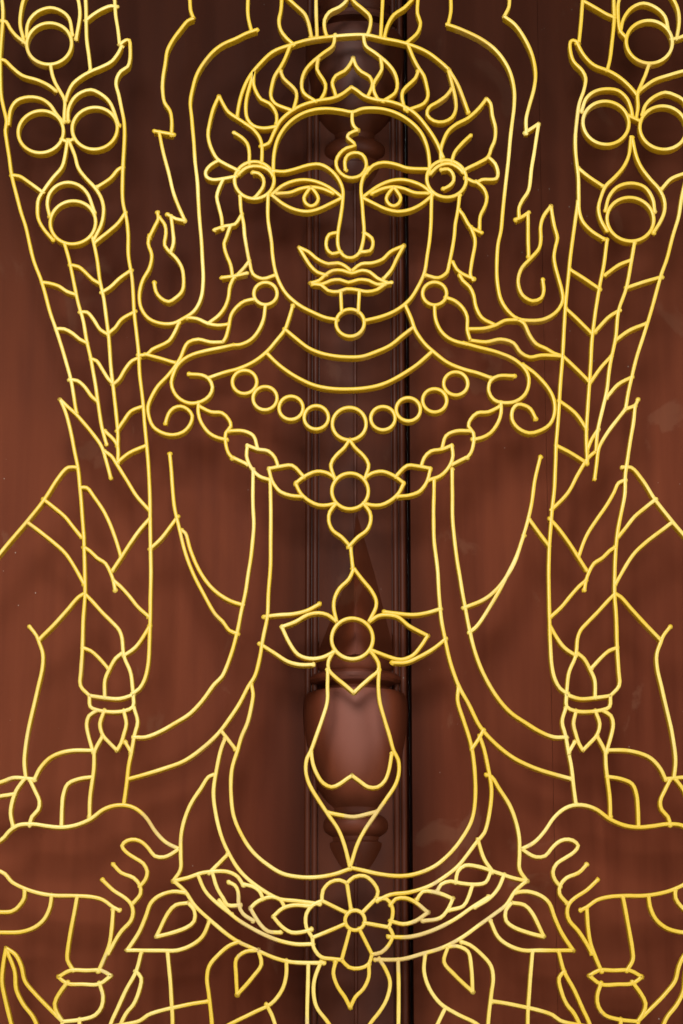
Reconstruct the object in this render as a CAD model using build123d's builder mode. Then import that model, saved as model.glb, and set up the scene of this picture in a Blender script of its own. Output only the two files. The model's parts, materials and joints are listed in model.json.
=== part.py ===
from build123d import *
import os

os.makedirs("parts", exist_ok=True)

# Carved temple door with a wrought figure gate, in millimetres.
# X runs to the right, Y into the building and Z up; the origin is under the middle of the threshold.

# Door frame
opening_width = 1100
opening_height = 2300
jamb_width = 80
head_height = 100
threshold_height = 100
frame_depth = 180
stop_width = 15
stop_thickness = 20
tenon_thickness = 30
tenon_depth = 110
tenon_length = 50
mortise_slack = 1
fixing_hole_radius = 5.5
fixing_row_gap = 120
fixing_row_centre = 5
fixing_spacing = 1300

# Leaves
leaf_thickness = 40
hinge_edge_gap = 3
leaf_bottom_gap = 3
leaf_top_gap = 4
meeting_gap = 5.5
left_meeting_bevel = 3
right_meeting_bevel = 2
left_board_count = 4
right_board_widths = (142, 176)
board_joint = 0.3
batten_thickness = 22
batten_height = 100
batten_hinge_inset = 60
batten_meeting_inset = 25
batten_chamfer = 5
hinge_inset = 320

# Astragal and its bosses
astragal_width = 103
astragal_base = 8
astragal_bead = 6.2
bead_rise = 3
astragal_groove = 1
field_rise = 9
ridge_width = 4
ridge_rise = 3
astragal_end_gap = 3
boss_width = 92
boss_front = 48
pyramid_height = 156
boss_apex = 1468
boss_pitch = 720
boss_count = 3
boss_drop = 400

# Leaf hinges
hinge_inward = 7.5
hinge_behind = 8.5
knuckle_radius = 7
knuckle_length = 30
knuckle_gap = 0.3
knuckle_sides = 8
hinge_plate = 3
hinge_reach = 36
hinge_pin_radius = 3
running_clearance = 0.05
swing_clearance = 0.5

# Bolts and pulls on the inner side
bolt_size = 12
bolt_off_leaf = 12
bolt_slide_clearance = 0.3
bolt_end_gap = 4
tower_bolt_length = 200
tower_bolt_inset = 60
tower_bolt_travel = 40
bolt_socket_clearance = 1
guide_width = 30
guide_length = 20
guide_wall = 5
knob_width = 8
knob_reach = 30
near_guide = 45
far_guide = 85
draw_bolt_length = 200
draw_bolt_height = 1110
draw_bolt_travel = 52
draw_bolt_setback = 3.5
draw_guide_spacing = 78
staple_length = 24
staple_past_bolt = 4
staple_wall = 8
staple_gap = 3
pull_height = 960
pull_length = 120
pull_reach = 45
pull_thickness = 5
pull_width = 24
pull_foot = 22
pull_inset = 70

# Gate frame
gate_tube = 25
gate_wall = 2
gate_side_gap = 5
gate_bottom_gap = 6
gate_top_gap = 8
gate_recess = 2
gate_hinge_radius = 8
gate_hinge_forward = 8.5
gate_hinge_outside = 2
gate_knuckle_length = 36
gate_hinge_inset = 220
gate_plate = 4
jamb_strap = 3
jamb_strap_reach = 57
gate_pin_radius = 4
gate_bolt_length = 133
gate_bolt_height = 1150
gate_bolt_travel = 32
gate_bolt_proud = 3
gate_bolt_plate_length = 100
gate_bolt_plate_height = 44
gate_bolt_plate = 3
gate_guide_length = 15
gate_guide_insets = (93, 23)
gate_knob_inset = 72
gate_keeper_length = 28

# Figure bars: the pattern is drawn for the clear space of this gate and is fitted to it
bar_thickness = 4
bar_depth = 12
bar_recess = 6
ring_sides = 10
pattern_width = 1040
pattern_base = 131
pattern_height = 2236
pattern_centre = 6

half_opening = opening_width / 2
overall_width = opening_width + 2 * jamb_width
opening_top = threshold_height + opening_height
frame_front = -frame_depth / 2
jamb_middle = half_opening + jamb_width / 2

leaf_bottom = threshold_height + leaf_bottom_gap
leaf_top = opening_top - leaf_top_gap
leaf_height = leaf_top - leaf_bottom
left_hinge_edge = -half_opening + hinge_edge_gap
right_hinge_edge = half_opening - hinge_edge_gap
left_meeting_edge = astragal_width / 2
right_meeting_edge = left_meeting_edge + meeting_gap
batten_levels = (leaf_bottom + hinge_inset, (leaf_bottom + leaf_top) / 2, leaf_top - hinge_inset)
hinge_levels = (leaf_bottom + hinge_inset, leaf_top - hinge_inset)
bolt_line = leaf_thickness + bolt_off_leaf
half_bolt = bolt_size / 2
tower_bolt_x = left_meeting_edge - tower_bolt_inset


def slab(x_low, x_high, y_low, y_high, mode=Mode.ADD):
    """Draws a rectangle between two pairs of edges."""
    with Locations(((x_low + x_high) / 2, (y_low + y_high) / 2)):
        Rectangle(x_high - x_low, y_high - y_low, mode=mode)


def save(piece, name):
    """Labels a finished piece and writes it to its own file."""
    piece.part.label = name
    export_step(piece.part, f"parts/{name}.step")


# Jambs, each with its stop worked in the solid, tenons at both ends and four fixing holes
for side, hand in ((-1, "left"), (1, "right")):
    with BuildPart() as jamb:
        with BuildSketch(Plane.XY.offset(threshold_height)):
            with Locations((side * jamb_middle, 0)):
                Rectangle(jamb_width, frame_depth)
            with Locations((side * (half_opening - stop_width / 2), -stop_thickness / 2)):
                Rectangle(stop_width, stop_thickness)
        extrude(amount=opening_height)
        with BuildSketch(Plane.XY.offset(threshold_height - tenon_length)):
            with Locations((side * jamb_middle, 0)):
                Rectangle(tenon_thickness, tenon_depth)
        extrude(amount=opening_height + 2 * tenon_length)
        with BuildSketch(Plane.YZ.offset(side * jamb_middle - jamb_width / 2)):
            with Locations((fixing_row_centre, threshold_height + opening_height / 2)):
                with GridLocations(fixing_row_gap, fixing_spacing, 2, 2):
                    Circle(fixing_hole_radius)
        extrude(amount=jamb_width, mode=Mode.SUBTRACT)
    save(jamb, f"{hand}_jamb")


def cross_member(low, high, inner, into_opening, name):
    """A threshold or head: inner is its face to the opening, and its stop, mortises and socket start there."""
    with BuildPart() as member:
        with BuildSketch(Plane.XY.offset(low)):
            Rectangle(overall_width, frame_depth)
        extrude(amount=high - low)
        with BuildSketch(Plane.XY.offset(inner)):
            slab(-half_opening + stop_width, half_opening - stop_width, -stop_thickness, 0)
        extrude(amount=into_opening * stop_width)
        with BuildSketch(Plane.XY.offset(inner)):
            for side in (-1, 1):
                with Locations((side * jamb_middle, 0)):
                    Rectangle(tenon_thickness + 2 * mortise_slack, tenon_depth + 2 * mortise_slack)
        extrude(amount=-into_opening * (tenon_length + mortise_slack), mode=Mode.SUBTRACT)
        with BuildSketch(Plane.XY.offset(inner)):
            with Locations((tower_bolt_x, bolt_line)):
                Rectangle(bolt_size + 2 * bolt_socket_clearance, bolt_size + 2 * bolt_socket_clearance)
        extrude(amount=-into_opening * (tower_bolt_travel + bolt_socket_clearance), mode=Mode.SUBTRACT)
    save(member, name)


cross_member(0, threshold_height, threshold_height, 1, "threshold")
cross_member(opening_top, opening_top + head_height, opening_top, -1, "head")


def leaf_boards(edges, meeting_edge, bevel, name):
    """A flush leaf of upright boards a hair apart, the meeting edge bevelled so that the leaf swings clear."""
    with BuildPart() as boards:
        with BuildSketch(Plane.XY.offset(leaf_bottom)):
            for low, high in zip(edges, edges[1:]):
                slab(low + board_joint / 2, high - board_joint / 2, 0, leaf_thickness)
            with BuildLine():
                Polyline((meeting_edge, 0), (meeting_edge + bevel, leaf_thickness),
                         (meeting_edge - bevel, leaf_thickness), close=True)
            make_face()
        extrude(amount=leaf_height)
    save(boards, name)


def leaf_battens(low, high, name):
    """Three ledges across the back of a leaf, with their rear edges eased."""
    with BuildPart() as battens:
        for level in batten_levels:
            with BuildSketch(Plane.XY.offset(level - batten_height / 2)):
                slab(low, high, leaf_thickness, leaf_thickness + batten_thickness)
            extrude(amount=batten_height)
        rear_edges = battens.edges().filter_by(Axis.X).group_by(Axis.Y)[-1]
        chamfer(rear_edges, batten_chamfer)
    save(battens, name)


left_board_width = (left_meeting_edge - left_hinge_edge) / left_board_count
left_edges = [left_hinge_edge + n * left_board_width for n in range(left_board_count + 1)]
first_width, second_width = right_board_widths
right_edges = [right_meeting_edge, right_meeting_edge + first_width,
               right_meeting_edge + first_width + second_width, right_hinge_edge]
leaf_boards(left_edges, left_meeting_edge, left_meeting_bevel, "left_leaf_boards")
leaf_boards(right_edges, right_meeting_edge, -right_meeting_bevel, "right_leaf_boards")
leaf_battens(left_hinge_edge + batten_hinge_inset, left_meeting_edge - batten_meeting_inset,
             "left_leaf_battens")
leaf_battens(right_meeting_edge + batten_meeting_inset, right_hinge_edge - batten_hinge_inset,
             "right_leaf_battens")


# Astragal: two beads at each edge, a field that rises to a fine ridge, and turned bosses on it
half_astragal = astragal_width / 2
outer_bead_end = half_astragal - astragal_bead
inner_bead_start = outer_bead_end - astragal_groove
field_start = inner_bead_start - astragal_bead + 1.5
field_top = astragal_base + field_rise
buried_share = (field_top + ridge_rise) / boss_front
astragal_bottom = threshold_height + stop_width + astragal_end_gap
astragal_top = opening_top - stop_width - astragal_end_gap
with BuildPart() as astragal:
    with BuildSketch(Plane.XY.offset(astragal_bottom)):
        with BuildLine() as half_profile:
            Line((0, 0), (-half_astragal, 0))
            Line((-half_astragal, 0), (-half_astragal, -astragal_base))
            ThreePointArc((-half_astragal, -astragal_base),
                          (-half_astragal + astragal_bead / 2, -astragal_base - bead_rise),
                          (-outer_bead_end, -astragal_base))
            Line((-outer_bead_end, -astragal_base), (-inner_bead_start, -astragal_base))
            ThreePointArc((-inner_bead_start, -astragal_base),
                          (-(inner_bead_start + field_start) / 2, -astragal_base - bead_rise),
                          (-field_start, -astragal_base))
            Polyline((-field_start, -astragal_base),
                     (-field_start + astragal_groove, -astragal_base),
                     (-ridge_width / 2, -field_top),
                     (-ridge_width / 2, -field_top - ridge_rise),
                     (0, -field_top - ridge_rise))
            mirror(about=Plane.YZ)
        make_face()
    extrude(amount=astragal_top - astragal_bottom)
    for count in range(boss_count):
        apex = boss_apex + (1 - count) * boss_pitch
        # half pyramid whose flat faces come out of the field at the apex
        for level, share in ((apex, buried_share), (apex - pyramid_height, 1)):
            with BuildSketch(Plane.XY.offset(level)):
                with BuildLine():
                    Polyline((-share * boss_width / 2, 0), (0, -share * boss_front),
                             (share * boss_width / 2, 0), close=True)
                make_face()
        loft(ruled=True)
        # half-round turning below it: neck, roll, bulb, neck, collar and drop
        with BuildSketch(Plane.XZ):
            with BuildLine():
                Polyline((0, apex - 155), (-34, apex - 155), (-34, apex - 168), (-43, apex - 175),
                         (-34, apex - 182), (-34, apex - 190), (-42, apex - 190))
                ThreePointArc((-42, apex - 190), (-49, apex - 240), (-30, apex - 303))
                Polyline((-30, apex - 303), (-24, apex - 313), (-31, apex - 318), (-31, apex - 330),
                         (-24, apex - 336), (-27, apex - 343), (-19, apex - 362), (0, apex - boss_drop),
                         (0, apex - 155))
            make_face()
        revolve(axis=Axis.Z, revolution_arc=180)
save(astragal, "astragal")


def hinge_half(levels, axis_at, plate, tab, radius, length, upper, pin):
    """Half of each hinge: the lower one carries the fixed pin, the upper one turns on it."""
    for level in levels:
        low = level - length - knuckle_gap / 2
        height = 2 * length + knuckle_gap
        with BuildSketch(Plane.XY.offset(low)) as flat:
            slab(*plate)
        extrude(flat.sketch, amount=height)
        with BuildSketch(Plane.XY.offset(low + upper * (length + knuckle_gap))) as knuckle:
            slab(*tab)
            with Locations(axis_at):
                RegularPolygon(radius, knuckle_sides, rotation=180 / knuckle_sides)
        extrude(knuckle.sketch, amount=length)
        with BuildSketch(Plane.XY.offset(low + length)) as spindle:
            with Locations(axis_at):
                Circle(pin + upper * running_clearance)
        extrude(spindle.sketch, amount=length + knuckle_gap, mode=Mode.SUBTRACT if upper else Mode.ADD)


def ordered(a, b, c, d):
    """The edges of a slab that may have been mirrored."""
    return min(a, b), max(a, b), c, d


hinge_line = leaf_thickness + hinge_behind
hinge_axis_x = half_opening - hinge_inward
plate_clear = knuckle_radius + swing_clearance
for side, hand in ((-1, "left"), (1, "right")):
    pivot = (side * hinge_axis_x, hinge_line)
    with BuildPart() as jamb_plates:
        plate = ordered(side * half_opening, side * (half_opening - hinge_plate),
                        hinge_line + plate_clear, hinge_line + hinge_reach)
        tab = ordered(side * half_opening, side * (half_opening - hinge_plate),
                      hinge_line, hinge_line + plate_clear)
        hinge_half(hinge_levels, pivot, plate, tab, knuckle_radius, knuckle_length, 0, hinge_pin_radius)
    save(jamb_plates, f"{hand}_hinge_jamb_plates")
    with BuildPart() as leaf_plates:
        plate = ordered(side * (hinge_axis_x - plate_clear), side * (hinge_axis_x - hinge_reach),
                        leaf_thickness, leaf_thickness + hinge_plate)
        tab = ordered(side * hinge_axis_x, side * (hinge_axis_x - plate_clear),
                      leaf_thickness, leaf_thickness + hinge_plate)
        hinge_half(hinge_levels, pivot, plate, tab, knuckle_radius, knuckle_length, 1, hinge_pin_radius)
    save(leaf_plates, f"{hand}_hinge_leaf_plates")


def knob(at, outward):
    """A square peg that a bolt is drawn by, standing out along Y from the bolt's axis."""
    with BuildSketch(Plane(origin=at, x_dir=(1, 0, 0), z_dir=(0, outward, 0))) as peg:
        Rectangle(knob_width, knob_width)
    extrude(peg.sketch, amount=knob_reach)


def guide_section(base, line, outward, across):
    """Cross-section of a bolt guide: a foot on the face at base and a square loop round the bolt at line."""
    slab(across - guide_width / 2, across + guide_width / 2, min(base, base + outward * guide_wall),
         max(base, base + outward * guide_wall))
    far = line + outward * (half_bolt + guide_wall)
    slab(across - half_bolt - guide_wall, across + half_bolt + guide_wall, min(base, far), max(base, far))
    with Locations((across, line)):
        Rectangle(bolt_size + 2 * bolt_slide_clearance, bolt_size + 2 * bolt_slide_clearance, mode=Mode.SUBTRACT)


# Tower bolts on the left leaf: both are drawn back, the top one hanging on its lower guide
tower_middle_top = leaf_top - bolt_end_gap - tower_bolt_length / 2
tower_middle_bottom = leaf_bottom + bolt_end_gap + tower_bolt_length / 2
knob_offset = near_guide - guide_length / 2 - knob_width / 2 - bolt_slide_clearance
for way, middle, name in ((1, tower_middle_top, "top_bolt"), (-1, tower_middle_bottom, "bottom_bolt")):
    with BuildPart() as rod:
        with BuildSketch(Plane.XY.offset(middle - tower_bolt_length / 2)):
            with Locations((tower_bolt_x, bolt_line)):
                Rectangle(bolt_size, bolt_size)
        extrude(amount=tower_bolt_length)
        knob((tower_bolt_x, bolt_line, middle - way * knob_offset), 1)
    save(rod, name)
    with BuildPart() as guides:
        for offset in (-way * near_guide, way * far_guide):
            with BuildSketch(Plane.XY.offset(middle + offset - guide_length / 2)):
                guide_section(leaf_thickness, bolt_line, 1, tower_bolt_x)
            extrude(amount=guide_length)
    save(guides, f"{name}_guides")

# Draw bolt from the left leaf into a staple on the right leaf
draw_tip = left_meeting_edge - draw_bolt_setback
draw_tail = draw_tip - draw_bolt_length
with BuildPart() as draw_bolt:
    with BuildSketch(Plane.YZ.offset(draw_tail)):
        with Locations((bolt_line, draw_bolt_height)):
            Rectangle(bolt_size, bolt_size)
    extrude(amount=draw_bolt_length)
    knob((draw_tail + knob_width, bolt_line, draw_bolt_height), 1)
save(draw_bolt, "draw_bolt")
with BuildPart() as draw_guides:
    for start in (draw_tip - 3 * guide_length / 2, draw_tip - 3 * guide_length / 2 - draw_guide_spacing):
        with BuildSketch(Plane(origin=(start, 0, draw_bolt_height), x_dir=(0, 0, 1), z_dir=(-1, 0, 0))):
            guide_section(leaf_thickness, bolt_line, 1, 0)
        extrude(amount=-guide_length)
save(draw_guides, "draw_bolt_guides")


def staple(start, length, base, line, outward, height):
    """A keeper that a bolt slides into: two legs on the face at base and a bridge over the bolt."""
    inner = half_bolt + staple_gap
    outer = inner + staple_wall
    with BuildSketch(Plane(origin=(start, base, height), x_dir=(0, outward, 0), z_dir=(1, 0, 0))) as legs:
        slab(0, abs(line - base) + outer, -outer, outer)
        slab(0, abs(line - base) + inner, -inner, inner, mode=Mode.SUBTRACT)
    extrude(legs.sketch, amount=length)


with BuildPart() as draw_keeper:
    staple(draw_tip + draw_bolt_travel - staple_length - staple_past_bolt, staple_length, leaf_thickness,
           bolt_line, 1, draw_bolt_height)
save(draw_keeper, "draw_bolt_keeper")

# Pulls of flat strip on the inner side
pull_low = pull_height - pull_length / 2
pull_high = pull_height + pull_length / 2
pull_face = leaf_thickness + pull_thickness
pull_far = leaf_thickness + pull_reach
for hand, pull_x in (("left", left_meeting_edge - pull_inset), ("right", right_meeting_edge + pull_inset)):
    with BuildPart() as pull:
        with BuildSketch(Plane.YZ.offset(pull_x - pull_width / 2)):
            slab(leaf_thickness, pull_far, pull_low, pull_high)
            slab(leaf_thickness, pull_face, pull_low - pull_foot, pull_high + pull_foot)
            slab(leaf_thickness, pull_far - pull_thickness, pull_low + pull_thickness,
                 pull_high - pull_thickness, mode=Mode.SUBTRACT)
        extrude(amount=pull_width)
        grip_ends = pull.edges().filter_by(Axis.X).group_by(Axis.Y)[-1]
        chamfer(grip_ends, pull_thickness)
    save(pull, f"{hand}_pull")

# Gate frame of square tube, hung outside the leaves
gate_front = frame_front + gate_recess
gate_back = gate_front + gate_tube
gate_half = half_opening - gate_side_gap
gate_inner_half = gate_half - gate_tube
gate_bottom = threshold_height + gate_bottom_gap
gate_top = opening_top - gate_top_gap
for side, hand in ((-1, "left"), (1, "right")):
    with BuildPart() as stile:
        with BuildSketch(Plane.XY.offset(gate_bottom)):
            with Locations((side * (gate_half - gate_tube / 2), gate_front + gate_tube / 2)):
                Rectangle(gate_tube, gate_tube)
                Rectangle(gate_tube - 2 * gate_wall, gate_tube - 2 * gate_wall, mode=Mode.SUBTRACT)
        extrude(amount=gate_top - gate_bottom)
    save(stile, f"gate_{hand}_stile")
for base, name in ((gate_bottom, "gate_bottom_rail"), (gate_top - gate_tube, "gate_top_rail")):
    with BuildPart() as rail:
        with BuildSketch(Plane.YZ.offset(-gate_inner_half)):
            with Locations((gate_front + gate_tube / 2, base + gate_tube / 2)):
                Rectangle(gate_tube, gate_tube)
                Rectangle(gate_tube - 2 * gate_wall, gate_tube - 2 * gate_wall, mode=Mode.SUBTRACT)
        extrude(amount=2 * gate_inner_half)
    save(rail, name)

# Gate hinges on the left: straps on the jamb's face, plates on the stile
gate_hinge_levels = (gate_bottom + gate_hinge_inset, gate_top - gate_hinge_inset)
gate_pivot = (-half_opening + gate_hinge_outside, frame_front - gate_hinge_forward)
gate_plate_clear = gate_hinge_radius + 2 * swing_clearance
with BuildPart() as gate_straps:
    hinge_half(gate_hinge_levels, gate_pivot,
               (gate_pivot[0] - jamb_strap_reach, gate_pivot[0] - gate_plate_clear,
                frame_front - jamb_strap, frame_front),
               (gate_pivot[0] - gate_plate_clear, gate_pivot[0], frame_front - jamb_strap,
                frame_front - swing_clearance),
               gate_hinge_radius, gate_knuckle_length, 0, gate_pin_radius)
save(gate_straps, "gate_hinge_straps")
with BuildPart() as gate_plates:
    hinge_half(gate_hinge_levels, gate_pivot,
               (gate_pivot[0] + gate_plate_clear, -gate_inner_half, gate_front - gate_plate, gate_front),
               (gate_pivot[0], gate_pivot[0] + gate_plate_clear, gate_front - gate_plate,
                frame_front - swing_clearance),
               gate_hinge_radius, gate_knuckle_length, 1, gate_pin_radius)
save(gate_plates, "gate_hinge_plates")

# Gate bolt on the right stile, and its keeper on the jamb
gate_bolt_line = gate_front - gate_bolt_plate - half_bolt - staple_gap
gate_bolt_tip = gate_half + gate_bolt_proud
gate_bolt_tail = gate_bolt_tip - gate_bolt_length
with BuildPart() as gate_bolt:
    with BuildSketch(Plane.YZ.offset(gate_bolt_tail)):
        with Locations((gate_bolt_line, gate_bolt_height)):
            Rectangle(bolt_size, bolt_size)
    extrude(amount=gate_bolt_length)
    knob((gate_bolt_tip - gate_knob_inset, gate_bolt_line, gate_bolt_height), -1)
save(gate_bolt, "gate_bolt")
with BuildPart() as gate_bolt_guides:
    with BuildSketch(Plane.XZ.offset(-gate_front)):
        slab(gate_half - gate_bolt_plate_length, gate_half, gate_bolt_height - gate_bolt_plate_height / 2,
             gate_bolt_height + gate_bolt_plate_height / 2)
    extrude(amount=gate_bolt_plate)
    for inset in gate_guide_insets:
        with BuildSketch(Plane(origin=(gate_bolt_tip - inset, 0, gate_bolt_height), x_dir=(0, 0, 1),
                               z_dir=(-1, 0, 0))):
            guide_section(gate_front - gate_bolt_plate, gate_bolt_line, -1, 0)
        extrude(amount=-gate_guide_length)
save(gate_bolt_guides, "gate_bolt_guides")
with BuildPart() as gate_keeper:
    staple(gate_bolt_tip + gate_bolt_travel - gate_keeper_length + staple_past_bolt, gate_keeper_length,
           frame_front, gate_bolt_line, -1, gate_bolt_height)
save(gate_keeper, "gate_bolt_keeper")

# Figure of flat bars on edge, welded edge to edge in one plane.
# Points are (across from the figure's middle, height), drawn for the left side as one looks at the gate.
fit_across = 2 * gate_inner_half / pattern_width
fit_up = (gate_top - gate_bottom - 2 * gate_tube) / pattern_height
bar_front = gate_front + bar_recess
rail_above = pattern_base + pattern_height
left_stile_face = pattern_centre - pattern_width / 2
right_stile_face = -pattern_centre - pattern_width / 2
made_regions = []


def place(across, up, side):
    """Where a point of the pattern comes on the gate."""
    return ((side * across - pattern_centre) * fit_across,
            gate_bottom + gate_tube + (up - pattern_base) * fit_up)


def flat_bar(points, side):
    """The face of one bar bent through a list of points, with its two edges mitred at every bend."""
    run = [Vector(*place(*point, side)) for point in points]
    ways = [(after - before).normalized() for before, after in zip(run, run[1:])]
    near_edge = []
    far_edge = []
    for point, before, after in zip(run, ways[:1] + ways, ways + ways[-1:]):
        bend = (before + after).normalized()
        across = Vector(-bend.Y, bend.X) * (bar_thickness / 2 / bend.dot(after))
        near_edge.append(point + across)
        far_edge.append(point - across)
    return Face(Wire.make_polygon(near_edge + far_edge[::-1]))


def weld(name, *drawings):
    """Makes one region of the figure, each drawing being its bars, its rings and its side."""
    with BuildPart() as region:
        with BuildSketch(Plane.XZ.offset(-bar_front)) as outline:
            add([flat_bar(points, side) for bars, rings, side in drawings for points in bars])
            for bars, rings, side in drawings:
                for across, up, radius in rings:
                    with Locations(place(across, up, side)):
                        RegularPolygon(radius + bar_thickness / 2, ring_sides)
                        RegularPolygon(radius - bar_thickness / 2, ring_sides, mode=Mode.SUBTRACT)
            if made_regions:
                add(made_regions, mode=Mode.SUBTRACT)
        extrude(outline.sketch, amount=-bar_depth)
    made_regions.append(outline.sketch_local)
    save(region, name)


left = 1
right = -1

# Headdress: spire, lotus and side leaves, up to a tie on the top rail
headdress_top = [
    [(-117, 1874), (-111, 1904), (-94, 1933), (-61, 1955), (-21, 1964), (0, 1966)],
    [(-24, 1965), (-26, 1983), (-18, 1996), (-3, 2005), (0, 2014)],
    [(-34, 1964), (-35, 2004), (-35, 2140), (-27, 2220), (0, 2300)],
    [(-58, 1955), (-72, 1971), (-72, 1994), (-71, 2014)],
    [(-40, 1964), (-43, 1980), (-56, 1999), (-71, 2014)],
]
spire_tie = [[(0, 2300), (0, rail_above)]]
weld("headdress_top", (headdress_top, [], left), (headdress_top, [], right), (spire_tie, [], left))

# Headdress band, with its flames and middle spade
headdress_band = [
    [(-93, 1840), (-79, 1857), (-61, 1880), (-33, 1892), (-8, 1899), (0, 1905)],
    [(-79, 1811), (-74, 1850), (-52, 1876), (-28, 1883), (0, 1880)],
    [(-15, 1966), (-28, 1945), (-47, 1924), (-50, 1911), (-42, 1894), (-35, 1891)],
    [(-33, 1939), (-29, 1918), (-25, 1910), (-30, 1893)],
    [(-61, 1956), (-73, 1928), (-82, 1903), (-78, 1889), (-60, 1881)],
    [(-72, 1925), (-56, 1903), (-58, 1882)],
    [(-100, 1924), (-107, 1896), (-106, 1871), (-89, 1861), (-76, 1863)],
    [(-100, 1924), (-97, 1901), (-79, 1883), (-76, 1866)],
    [(0, 1940), (-5, 1925), (-17, 1914), (-15, 1898)],
]
weld("headdress_band", (headdress_band, [], left), (headdress_band, [], right))

# Face
face_half = [
    [(-80, 1811), (-56, 1816), (-34, 1821), (-14, 1808), (-8, 1780), (-12, 1740), (-9, 1724), (0, 1718)],
    [(-13, 1746), (-24, 1737), (-18, 1723), (-9, 1725)],
    [(-79, 1789), (-59, 1802), (-35, 1802), (-8, 1785)],
    [(-79, 1786), (-56, 1771), (-31, 1772), (-8, 1784)],
    [(-75, 1789), (-40, 1796), (-17, 1789)],
    [(-40, 1795), (-47, 1784), (-41, 1774)],
    [(-40, 1795), (-32, 1783), (-41, 1774)],
    [(0, 1704), (-12, 1713), (-33, 1717), (-52, 1728)],
    [(-52, 1728), (-40, 1710), (-24, 1700)],
    [(-38, 1691), (-26, 1699), (-12, 1705), (0, 1702)],
    [(-38, 1691), (-19, 1694), (-8, 1695), (0, 1692)],
    [(-38, 1690), (-17, 1682), (0, 1685)],
    [(-9, 1683), (-8, 1660)],
    [(-84, 1788), (-80, 1735), (-72, 1692), (-52, 1668), (-14, 1653)],
]
forehead_curl = [
    [(2, 1880), (3, 1869), (9, 1859)],
    [(9, 1859), (-2, 1851), (6, 1842), (-10, 1833), (-13, 1817), (3, 1806), (17, 1819), (6, 1834),
     (-5, 1824), (-4, 1815)],
]
weld("face", (face_half, [], left), (face_half, [], right), (forehead_curl, [(0, 1648, 14.5)], left))

# Ears, side leaves, hair locks and pendants
ear_ornament = [
    [(-136, 1897), (-146, 1864), (-144, 1840), (-128, 1821), (-115, 1814)],
    [(-136, 1897), (-118, 1874), (-93, 1850), (-91, 1822)],
    [(-120, 1856), (-106, 1844), (-104, 1822)],
    [(-137, 1825), (-149, 1811), (-142, 1804), (-117, 1807)],
    [(-117, 1811), (-118, 1799), (-103, 1783), (-84, 1788), (-79, 1812)],
    [(-97, 1816), (-89, 1801), (-97, 1784)],
    [(-117, 1811), (-100, 1823), (-79, 1814)],
    [(-131, 1804), (-137, 1785), (-131, 1750)],
    [(-139, 1749), (-118, 1755), (-111, 1766)],
    [(-123, 1753), (-129, 1734), (-120, 1699)],
    [(-113, 1786), (-108, 1743), (-99, 1701), (-89, 1696), (-75, 1699)],
    [(-105, 1702), (-117, 1699), (-131, 1697)],
    [(-97, 1674), (-115, 1666), (-123, 1645), (-129, 1627)],
    [(-86, 1668), (-93, 1640), (-118, 1625)],
]
pendant_ring = [(-86, 1680, 12)]

# Collar lines and the string of beads
neck_side = [[(-58, 1666), (-64, 1645), (-84, 1618), (-112, 1600), (-143, 1590)]]
collar_rings = [
    [(-66, 1642), (-42, 1622), (-14, 1613), (14, 1613), (42, 1622), (66, 1642)],
    [(-84, 1617), (-56, 1592), (-21, 1579), (21, 1579), (56, 1592), (84, 1617)],
]
side_beads = [(-106.5, 1585.5, 12.3), (-85.5, 1568, 12.3), (-59.5, 1558, 12.3), (-33, 1549, 12.3)]
middle_bead = [(0, 1541.5, 18)]

# Necklace of leaves with a ring and drop
leaf_necklace = [
    [(0, 1523), (-14, 1508), (-19, 1499), (-15, 1485)],
    [(-153, 1564), (-150, 1543), (-133, 1527), (-124, 1525)],
    [(-152, 1560), (-129, 1553), (-120, 1539), (-125, 1522), (-118, 1506)],
    [(-122, 1534), (-97, 1529), (-93, 1516)],
    [(-117, 1506), (-103, 1499)],
    [(-103, 1519), (-82, 1513), (-72, 1497)],
    [(-103, 1518), (-100, 1497), (-80, 1483)],
    [(-81, 1495), (-58, 1498), (-46, 1486)],
    [(-81, 1494), (-72, 1473), (-48, 1467)],
    [(-54, 1480), (-33, 1492), (-16, 1485)],
    [(-54, 1479), (-40, 1461), (-14, 1459)],
    [(-14, 1459), (-21, 1441), (-12, 1427), (0, 1414)],
]
necklace_ring = [(0, 1471.5, 18.4)]

# Robe ribbons beside the head, hung from the top rail
streamer = [
    [(-168, rail_above), (-168, 2040)],
    [(-168, 2040), (-168, 2004), (-164, 1985)],
    [(-164, 1985), (-177, 1973), (-191, 1948), (-195, 1910), (-187, 1880), (-185, 1854)],
    [(-183, 1854), (-203, 1858)],
    [(-197, 1857), (-187, 1811), (-177, 1776), (-170, 1759)],
    [(-170, 1759), (-188, 1766)],
    [(-184, 1765), (-181, 1735), (-184, 1724)],
    [(-198, 1768), (-200, 1754), (-206, 1741)],
    [(-197, 1763), (-189, 1745), (-184, 1724)],
    [(-184, 1724), (-172, 1708), (-171, 1683), (-185, 1671), (-200, 1692)],
    [(-107, rail_above), (-107, 2010)],
    [(-107, 2010), (-107, 1990), (-103, 1970)],
    [(-97, 1972), (-119, 1962), (-153, 1934), (-166, 1889), (-162, 1850), (-155, 1766), (-150, 1692),
     (-159, 1661), (-186, 1648), (-213, 1664), (-212, 1694), (-203, 1722), (-206, 1741)],
]

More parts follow.
